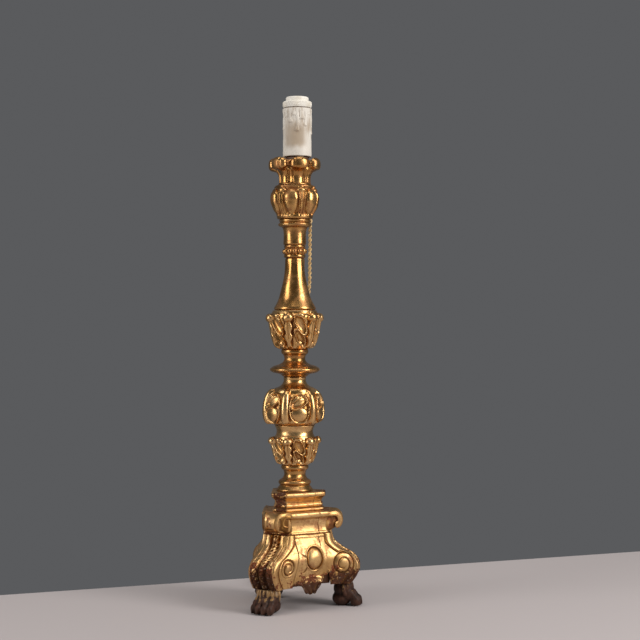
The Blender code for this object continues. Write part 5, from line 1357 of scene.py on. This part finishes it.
def melted(lumps, voxel, rounds):
    """One skin round all lumps: points in millimetres, and faces."""
    across_ball, up_ball = 20, 12
    around = math.tau * np.arange(across_ball) / across_ball
    theta, phi = np.meshgrid(around, np.linspace(-1.45, 1.45, up_ball))
    ball = np.stack((np.cos(phi) * np.cos(theta), np.cos(phi) * np.sin(theta), np.sin(phi)), axis=-1)
    ball = ball.reshape(-1, 3)
    points, faces = [], []
    for centre, radii in lumps:
        start = sum(len(part) for part in points)
        points.append(ball * radii + centre)
        faces += tube_faces(up_ball, across_ball, start)
    mesh = bpy.data.meshes.new("lumps")
    mesh.from_pydata(np.vstack(points).tolist(), [], faces)
    heap = bpy.data.objects.new("lumps", mesh)
    bpy.context.scene.collection.objects.link(heap)
    remesh = heap.modifiers.new("skin", "REMESH")
    remesh.mode = "VOXEL"
    remesh.voxel_size = voxel
    skin = bpy.data.meshes.new_from_object(heap.evaluated_get(bpy.context.evaluated_depsgraph_get()))
    bpy.data.objects.remove(heap, do_unlink=True)
    return relaxed(skin, rounds)[1], [list(face.vertices) for face in skin.polygons]


paw, paw_faces = melted(paw_lumps(), 0.8, 2)
paw[:, 0] = np.minimum(paw[:, 0], PAW_REACH)
paw[:, 2] = np.clip(paw[:, 2], 0, PAW_HEIGHT)
kept = 0.9 * smooth(9, 20, paw[:, 2]) - 0.4 * smooth(66, 76, paw[:, 0])
for number, side in enumerate(SIDES):
    placed = from_stem(spun(paw, number * math.tau / 3))
    paw_marks = {"kept": kept - LOST_GOLD[side]}
    dress(f"paw_{side}_worn", placed, paw_faces, (f"paw_{side}",), paw_finish, marks=paw_marks)

# %% [markdown]
# ## Lamp fitting
# Inside the cup a stained wooden plug holds a threaded pipe; on it sit a washer, a nut and a plastic holder
# in two halves, with a screw socket for a small candle bulb. All are turned, so they use the lathe again, on
# the lamp's own axis. Threads are cut as a helix: the phase of the groove runs with the angle.

# %% Finishes of the fitting
IVORY = (0.74, 0.71, 0.65)
IVORY_OLD = (0.60, 0.55, 0.46)
# darker brown for the hollows of the ivory pieces
HOLLOW_DARK_BROWN = (0.30, 0.24, 0.17)
STAIN_DARK, STAIN_LIGHT, STAIN_RED = (0.055, 0.024, 0.013), (0.15, 0.070, 0.036), (0.10, 0.04, 0.02)
DOWEL_DARK, DOWEL_LIGHT = (0.30, 0.18, 0.09), (0.50, 0.34, 0.20)
CLAY_WHITE, CLAY_GREY = (0.80, 0.78, 0.74), (0.66, 0.63, 0.57)


def make_ivory_finish():
    made = Finish("ivory_plastic")
    cloud, fine = made.noise(70, 4, 0.6), made.noise(900, 3)
    hollow = made.mark("hollow")
    # The ivory darkens where its surface lies deepest, by hollow depth alone.
    darker_hollows = made.step(hollow + 0.25 * (cloud - 0.5), 0.02, 0.30)
    colour = made.mix(made.step(cloud, 0.4, 0.75), IVORY, IVORY_OLD)
    made.give(Base_Color=made.mix(0.75 * darker_hollows, colour, HOLLOW_DARK_BROWN))
    made.give(Roughness=0.40 + 0.15 * cloud + 0.2 * darker_hollows)
    return made.bump(0.6 * fine + cloud, 0.05, 0.4)


def make_metal_finish(name, colour, dull, rough):
    made = Finish(name)
    cloud = made.noise(140, 4, 0.6)
    scratch = made.noise(700, 3, 0.6, made.stretched(1.0, 1.0, 6.0))
    tarnish = made.step(cloud + 0.3 * (scratch - 0.5), 0.42, 0.7)
    made.give(Base_Color=made.mix(tarnish, colour, dull), Metallic=1.0, Roughness=rough + 0.25 * tarnish)
    return made.bump(scratch, 0.03, 0.4)


def make_stained_wood():
    made = Finish("stained_plug")
    grain = made.noise(260, 5, 0.65, made.stretched(1.0, 1.0, 0.18))
    cloud = made.noise(80, 3)
    colour = made.mix(made.step(grain, 0.35, 0.7), STAIN_DARK, STAIN_LIGHT)
    colour = made.mix(made.step(cloud, 0.5, 0.8), colour, STAIN_RED)
    made.give(Base_Color=colour, Roughness=0.42 + 0.2 * grain)
    return made.bump(grain, 0.15, 0.5)


def make_bare_wood():
    made = Finish("bare_dowel")
    grain = made.noise(300, 5, 0.65, made.stretched(1.0, 1.0, 0.15))
    made.give(Base_Color=made.mix(grain, DOWEL_DARK, DOWEL_LIGHT), Roughness=0.6 + 0.1 * grain)
    return made.bump(grain, 0.1, 0.5)


def make_porcelain():
    made = Finish("porcelain")
    cloud, pits = made.noise(120, 3), made.noise(1500, 2)
    made.give(Base_Color=made.mix(cloud, CLAY_WHITE, CLAY_GREY), Roughness=0.35 + 0.2 * cloud)
    return made.bump(pits, 0.04, 0.4)


ivory = make_ivory_finish()
steel = make_metal_finish("zinc_steel", (0.56, 0.56, 0.56), (0.36, 0.35, 0.33), 0.32)
brass = make_metal_finish("brass", (0.76, 0.56, 0.24), (0.46, 0.31, 0.13), 0.28)
stained = make_stained_wood()
porcelain = make_porcelain()
bare_wood = make_bare_wood()
print("fitting finishes made")

# %% Turn the fitting
THREAD_PITCH = 2.0
CAP_THREAD_PITCH = 2.82


def foot_of(node):
    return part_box(node)[0][2] / MM


def screw_thread(low, high, pitch, depth, radius_from):
    """Cuts a helical groove into walls outside a radius, between two heights."""

    def relief(radius, height, angle):
        wave = 0.5 + 0.5 * np.cos(math.tau * (height / pitch) - angle)
        span = smooth(low, low + 1, height) * (1 - smooth(high - 1, high, height))
        return -depth * wave * span * (radius > radius_from)

    return relief


def hexagon(radius, height, angle):
    off = (angle + math.pi / 6) % (math.pi / 3) - math.pi / 6
    return np.where(radius > 6.4, 7.0 / np.cos(off) - 7.0, 0.0)


def rolled_socket(radius, height, angle):
    span = smooth(2, 4, height) * (1 - smooth(24, 26, height))
    wave = 0.42 * np.cos(math.tau * height / CAP_THREAD_PITCH - angle) * span
    return np.where(radius > 7.6, wave, -wave)


def fit(name, node, outline, finish, relief=None, columns=96, step=0.6, soften=0.35, body=STAND):
    """A turned piece of the fitting on the lamp's axis, its foot where the solid's foot is."""
    seat = foot_of(node) - min(entry[1] for entry in outline)
    points, faces = turned(outline, seat, relief, 0.0, columns, step, soften, lamp, closed=outline[0][0] > 1)
    dress(name, points, faces, (node,), finish, body=body, sharp=50)


PLUG = ((5.3, -10.5), (11.2, -10.5), (11.2, 0), (12.9, 0), (13.3, 0.6), (13.3, 5.2), (12.6, 5.9), (5.3, 5.9))
pipe_low, pipe_high = foot_of("lamp_pipe"), top_of("lamp_pipe")
PIPE = ((3.6, 0), (5, 0), (5, pipe_high - pipe_low), (3.6, pipe_high - pipe_low))
WASHER = ((5.3, 0), (9, 0), (9, 1.2), (5.3, 1.2))
NUT = ((5.3, 0), (7, 0), (7, 4), (5.3, 4))
HOLDER_CAP = (
    (5.3, 0), (7.5, 0), (7.5, 3.5), (9.6, 4.0), (13.0, 5.4), (13.9, 7.0), (13.9, 15), (12.2, 15), (12.2, 8.5),
    (5.3, 8.5),
)
HOLDER_SHELL = (
    (10.4, -5.5), (11.9, -5.5), (11.9, 0), (13.9, 0), (13.9, 33.1), (13.2, 33.1), (13.2, 46.2), (12.2, 47.4),
    (9.6, 47.4), (8.4, 46.2), (8.4, 12.3), (10.4, 12.3),
)
BLOCK = ((0.3, 0), (9.6, 0), (10.1, 0.6), (10.1, 9.2), (9.5, 10.0), (0.3, 10.0))
SOCKET = ((7.1, 0), (8.1, 0), (8.1, 27), (7.1, 27))

fit("cup_plug_stained", "cup_plug", PLUG, stained)
fit("pipe_threaded", "lamp_pipe", PIPE, steel, screw_thread(0, 99, 1.0, 0.3, 4.6), 64, 0.3, 0.1)
fit("washer", "pipe_washer", WASHER, steel, columns=64, step=0.4, soften=0.2)
fit("nut", "pipe_nut", NUT, steel, hexagon, 96, 0.5, 0.2)
fit("holder_lower", "holder_cap", HOLDER_CAP, ivory)
shell_thread = screw_thread(33.5, 46.5, THREAD_PITCH, 0.35, 12.8)
fit("holder_upper", "holder_shell", HOLDER_SHELL, ivory, shell_thread)
fit("contact_porcelain", "contact_block", BLOCK, porcelain)
fit("socket_rolled", "screw_contact", SOCKET, brass, rolled_socket, 96, 0.35, 0.15)
plain_nodes = {"terminal_screw_1": brass, "terminal_screw_2": brass, "centre_contact": brass}
plain_nodes.update({f"paw_dowel_{side}": bare_wood for side in SIDES})
for node, finish in plain_nodes.items():
    bpy.data.objects[node].data.materials.clear()
    bpy.data.objects[node].data.materials.append(finish.material)
print(len(plain_nodes), "solids keep their own shape")

# %% [markdown]
# ## Candle sleeve and shade ring
# A plastic sleeve made to look like a candle stub hides the holder: yellowed, with smoke-brown stains and
# moulded drips of wax that run down from the top. The ring that would hold a shade is ribbed for the fingers.

# %% Sleeve and ring
SLEEVE_RADIUS = 16.3
SLEEVE_HEIGHT = 55.7
SLEEVE = (
    (14.5, 0), (16.0, 0), (SLEEVE_RADIUS, 0.5), (SLEEVE_RADIUS, 54.6), (15.6, SLEEVE_HEIGHT),
    (13.6, SLEEVE_HEIGHT), (13.5, 54.6), (14.5, 54.4),
)
RING = (
    (13.5, 0), (15.7, 0), (16.2, 0.8), (16.2, 1.7), (16.7, 2.1), (16.7, 6.2), (15.9, 7.2), (15.2, 7.3),
    (13.5, 7.3),
)
DRIPS = (
    (-118, 17, 2.6, 1.1), (-103, 9, 2.0, 0.8), (-88, 27, 2.2, 1.2), (-70, 13, 3.0, 1.0), (-52, 21, 2.2, 1.0),
    (-34, 8, 2.4, 0.8), (-12, 30, 2.3, 1.2), (14, 12, 2.6, 0.9), (48, 24, 2.4, 1.1), (85, 15, 3.0, 1.0),
    (120, 33, 2.2, 1.2), (158, 18, 2.8, 1.0), (-160, 25, 2.3, 1.1), (-138, 11, 2.2, 0.9),
)
SLEEVE_WHITE = (0.63, 0.59, 0.53)
SLEEVE_STAIN = (0.33, 0.25, 0.17)
# dark brown for the sleeve's deeper hollows and for the painted shadow under the ring
SLEEVE_HOLLOW_AND_SHADOW = (0.15, 0.10, 0.07)
RIBS = 72


def drip_relief(radius, height, angle):
    outside = radius > 15.9
    lift = 0.0 * radius
    for degrees, length, half_width, rise in DRIPS:
        turn = (angle - math.radians(degrees) + math.pi) % math.tau - math.pi
        offset = turn * SLEEVE_RADIUS + 0.5 * np.sin(0.28 * height + degrees)
        end = 54.5 - length
        swell = 0.75 + 0.45 * ridge(height - end - 1.6, 2.6)
        run = smooth(end - 0.2, end + 1.4, height)
        lift = np.maximum(lift, rise * swell * dome((offset / (half_width * swell)) ** 2) * run)
    shoulder = 0.7 * smooth(49.0, 52.5, height + 2.2 * np.sin(5 * angle) + 1.2 * np.sin(9 * angle + 1))
    dents = 0.12 * np.sin(4 * angle + 0.2 * height) + 0.10 * np.sin(0.5 * height + 2 * angle)
    return (np.maximum(lift, shoulder) + dents) * outside * smooth(55.6, 54.4, height) * 0.8


def rib_relief(radius, height, angle):
    u = across(angle, RIBS)[0]
    band = (radius > SLEEVE_RADIUS) * smooth(1.9, 2.5, height) * (1 - smooth(5.9, 6.6, height))
    return -0.34 * np.abs(u) ** 1.5 * band


def make_sleeve_finish():
    made = Finish("wax_sleeve")
    hollow = made.mark("hollow")
    cloud = made.noise(26, 4, 0.6, made.stretched(1.0, 1.0, 0.6))
    run, fine = made.noise(180, 5, 0.6, made.stretched(1.0, 1.0, 0.22)), made.noise(800, 3)
    up = (made.coordinate("Z") / MM - foot_of("candle_sleeve")) / SLEEVE_HEIGHT
    aside = made.coordinate("X") / MM - lamp.x / MM
    facing = made.step(made.coordinate("Y") / MM, 3.0, -6.0)
    scorch = made.step(aside + 4.0 * (cloud - 0.5), -17.0, -9.0)
    scorch = scorch * made.step(aside + 5.0 * (cloud - 0.5), 13.0, 6.0) * facing
    scorch *= made.step(up + 0.12 * (run - 0.5), 0.12, 0.26) * made.step(up + 0.3 * (run - 0.5), 0.80, 0.50)
    drizzle = made.step(up, 0.25, 0.60) * made.step(run + 0.4 * (cloud - 0.5), 0.44, 0.66)
    # The sleeve darkens where its surface lies deepest, by hollow depth alone.
    sleeve_hollows = made.step(hollow + 0.4 * (run - 0.5), 0.10, 0.34)
    # Painted shadow: a dark band at the top of the sleeve, just under the shade ring.
    painted_shadow_under_ring = made.step(up, 0.978, 0.99)
    colour = made.mix(0.85 * scorch, SLEEVE_WHITE, SLEEVE_STAIN)
    colour = made.mix(0.8 * drizzle, colour, SLEEVE_STAIN)
    # The darker hollows and the painted shadow under the ring both take the dark brown.
    colour = made.mix((0.8 * sleeve_hollows).most(0.9 * painted_shadow_under_ring), colour, SLEEVE_HOLLOW_AND_SHADOW)
    made.give(Base_Color=colour, Roughness=0.5 + 0.15 * (run - 0.5))
    return made.bump(0.7 * run + 0.3 * fine, 0.12, 0.5)


wax = make_sleeve_finish()
fit("candle_sleeve_wax", "candle_sleeve", SLEEVE, wax, drip_relief, 224, 0.5, 0.3, "sleeve")
fit("ring_ribbed", "shade_ring", RING, ivory, rib_relief, 432, 0.4, 0.25, "ring")

# %% [markdown]
# ## Bush, tie and plug
# Where the flex leaves the stem a fibre bush keeps it off the wood. The coil is held by a woven tie, and the
# moulded plug lies on the coil. These pieces lie at angles, so they are made upright and then aimed.

# %% Bush, tie and plug
TIE_ANGLE = math.radians(10)
FIBRE_DARK, FIBRE_LIGHT = (0.10, 0.06, 0.032), (0.30, 0.20, 0.11)
PLUG_DARK, PLUG_LIGHT, PLUG_DUST = (0.10, 0.058, 0.038), (0.16, 0.10, 0.07), (0.26, 0.21, 0.17)


def make_fibre_finish():
    made = Finish("woven_fibre")
    sockets = {"Vector": made.place, "Scale": 260.0}
    weave = made.node("ShaderNodeTexWave", {"wave_type": "BANDS"}, sockets, "Fac")
    fine = made.noise(1200, 3)
    shade = made.step(weave + 0.6 * (fine - 0.5), 0.2, 0.8)
    made.give(Base_Color=made.mix(shade, FIBRE_DARK, FIBRE_LIGHT), Roughness=0.75 + 0.1 * fine)
    return made.bump(weave + 0.5 * fine, 0.2, 0.6)


def make_plug_finish():
    made = Finish("moulded_plug")
    cloud, fine = made.noise(90, 4), made.noise(1100, 3)
    hollow = made.mark("hollow")
    dust = made.step(hollow + 0.3 * (cloud - 0.5), 0.08, 0.4)
    colour = made.mix(made.step(cloud, 0.4, 0.8), PLUG_DARK, PLUG_LIGHT)
    made.give(Base_Color=made.mix(0.5 * dust, colour, PLUG_DUST), Roughness=0.36 + 0.25 * cloud)
    return made.bump(fine, 0.05, 0.5)


def aimed(points, origin, way):
    """Turns upright points (metres, on the frame's Z axis) to a direction and moves them to an origin."""
    turn = np.array(Vector(way).to_track_quat("Z", "Y").to_matrix())
    return points @ turn.T + np.asarray(origin)


fibre = make_fibre_finish()
plug_finish = make_plug_finish()
exit_point = from_stem(np.array((LAMP_OFFSET, 0, EXIT_TURN)) + exit_way() * BUSH_END)
origin_axis = Vector((0, 0, 0))
BUSH = ((2.5, -11), (3.5, -11), (3.5, -1.2), (3.1, 0), (2.5, 0))
points, faces = turned(BUSH, 0, None, 0, 48, 0.4, 0.3, origin_axis, True)
dress("bush", aimed(points, exit_point, exit_way()), faces, ("cord_bush",), fibre)

low, high = (Vector(corner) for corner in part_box("plug_sleeve"))
sleeve_length = (high.y - low.y) / MM
BOOT = ((0.2, 0), (3.0, 0), (3.3, 0.8), (5.0, sleeve_length), (0.2, sleeve_length))


def boot_rings(radius, height, angle):
    return -0.8 * smooth(0.2, 0.7, np.cos(math.tau * height / 3.0)) * smooth(1.5, 3, height) * (radius > 2.6)


points, faces = turned(BOOT, 0, boot_rings, 0, 64, 0.35, 0.2, origin_axis)
boot_at = ((low.x + high.x) / 2, low.y, (low.z + high.z) / 2)
points = aimed(points, boot_at, (0, 1, 0))
plug_boot = dress("plug_boot", points, faces, ("plug_sleeve",), plug_finish)


def make_plug_body():
    """A moulded body lofted along the plug: narrow and ribbed behind, broad and flat at the pins."""
    low, high = (np.array(corner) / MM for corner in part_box("plug_body"))
    centre, size = (low + high) / 2, (high - low) / 2
    share = np.linspace(0, 1, 64)
    spread = along_curve(((0, 0.0), (0.12, 0.15), (0.45, 0.85), (0.6, 1.0), (0.96, 1.0), (1.0, 0.93)), share)
    half_width = 7.5 + (size[0] - 7.5) * spread
    half_depth = 5.5 + (size[2] - 5.5) * spread
    grip = -0.7 * smooth(0.3, 0.8, np.cos(math.tau * share * 9))
    grip *= smooth(0.06, 0.12, share) * (1 - smooth(0.42, 0.48, share))
    angle = math.tau * np.arange(88) / 88
    flat_x = np.abs(np.cos(angle)) ** 0.55 * np.sign(np.cos(angle))
    flat_z = np.abs(np.sin(angle)) ** 0.62 * np.sign(np.sin(angle))
    seam = -0.25 * ridge(np.sin(angle), 0.06)
    rings = []
    for s, wide, deep, cut in zip(share, half_width, half_depth, grip):
        x, z = (wide + seam + 0.6 * cut) * flat_x, (deep + cut) * flat_z
        rings.append(np.column_stack((centre[0] - x, 0 * x + low[1] + s * (high[1] - low[1]), centre[2] + z)))
    return np.vstack(rings) * MM, tube_faces(64, 88)


points, faces = make_plug_body()
plug_body = dress("plug_moulded", points, faces, ("plug_body",), plug_finish, sharp=45)
PIN = ((0.2, 0), (2, 0), (2, 17), (1.6, 18.4), (0.6, 19), (0.2, 19))
for number in (1, 2):
    spot = middle(f"plug_pin_{number}")
    points, faces = turned(PIN, 0, None, 0, 48, 0.5, 0.3, origin_axis)
    origin = (spot.x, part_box(f"plug_pin_{number}")[0][1], spot.z)
    points = aimed(points, origin, (0, 1, 0))
    dress(f"pin_{number}", points, faces, (f"plug_pin_{number}",), steel)


def make_tie():
    """A flat woven band round the coil's turns."""
    centre = middle("coil_tie")
    half_width, half_height, corner, thick = 12.06, 5.05, 2.2, 0.9
    angle = math.tau * np.arange(96) / 96
    way = np.column_stack((np.cos(angle), np.sin(angle)))
    core = np.sign(way) * np.array((half_width - corner, half_height - corner)) * (np.abs(way) > 1e-6)
    rings = []
    edge, crown = 0.15, thick + 0.12
    outside = ((-3.0, edge), (-2.8, thick), (-1.0, crown), (1.0, crown), (2.8, thick), (3.0, edge))
    for height, size in (*outside, (2.6, 0.0), (-2.6, 0.0)):
        ring = core + way * (corner + size)
        rings.append(np.column_stack((ring[:, 0], 0 * angle - height, ring[:, 1])))
    points = spun(np.vstack(rings), TIE_ANGLE) * MM + np.array(centre)
    return points, grid_faces(len(rings), 96, closed=True)


points, faces = make_tie()
tie = dress("tie", points, faces, ("coil_tie",), fibre)
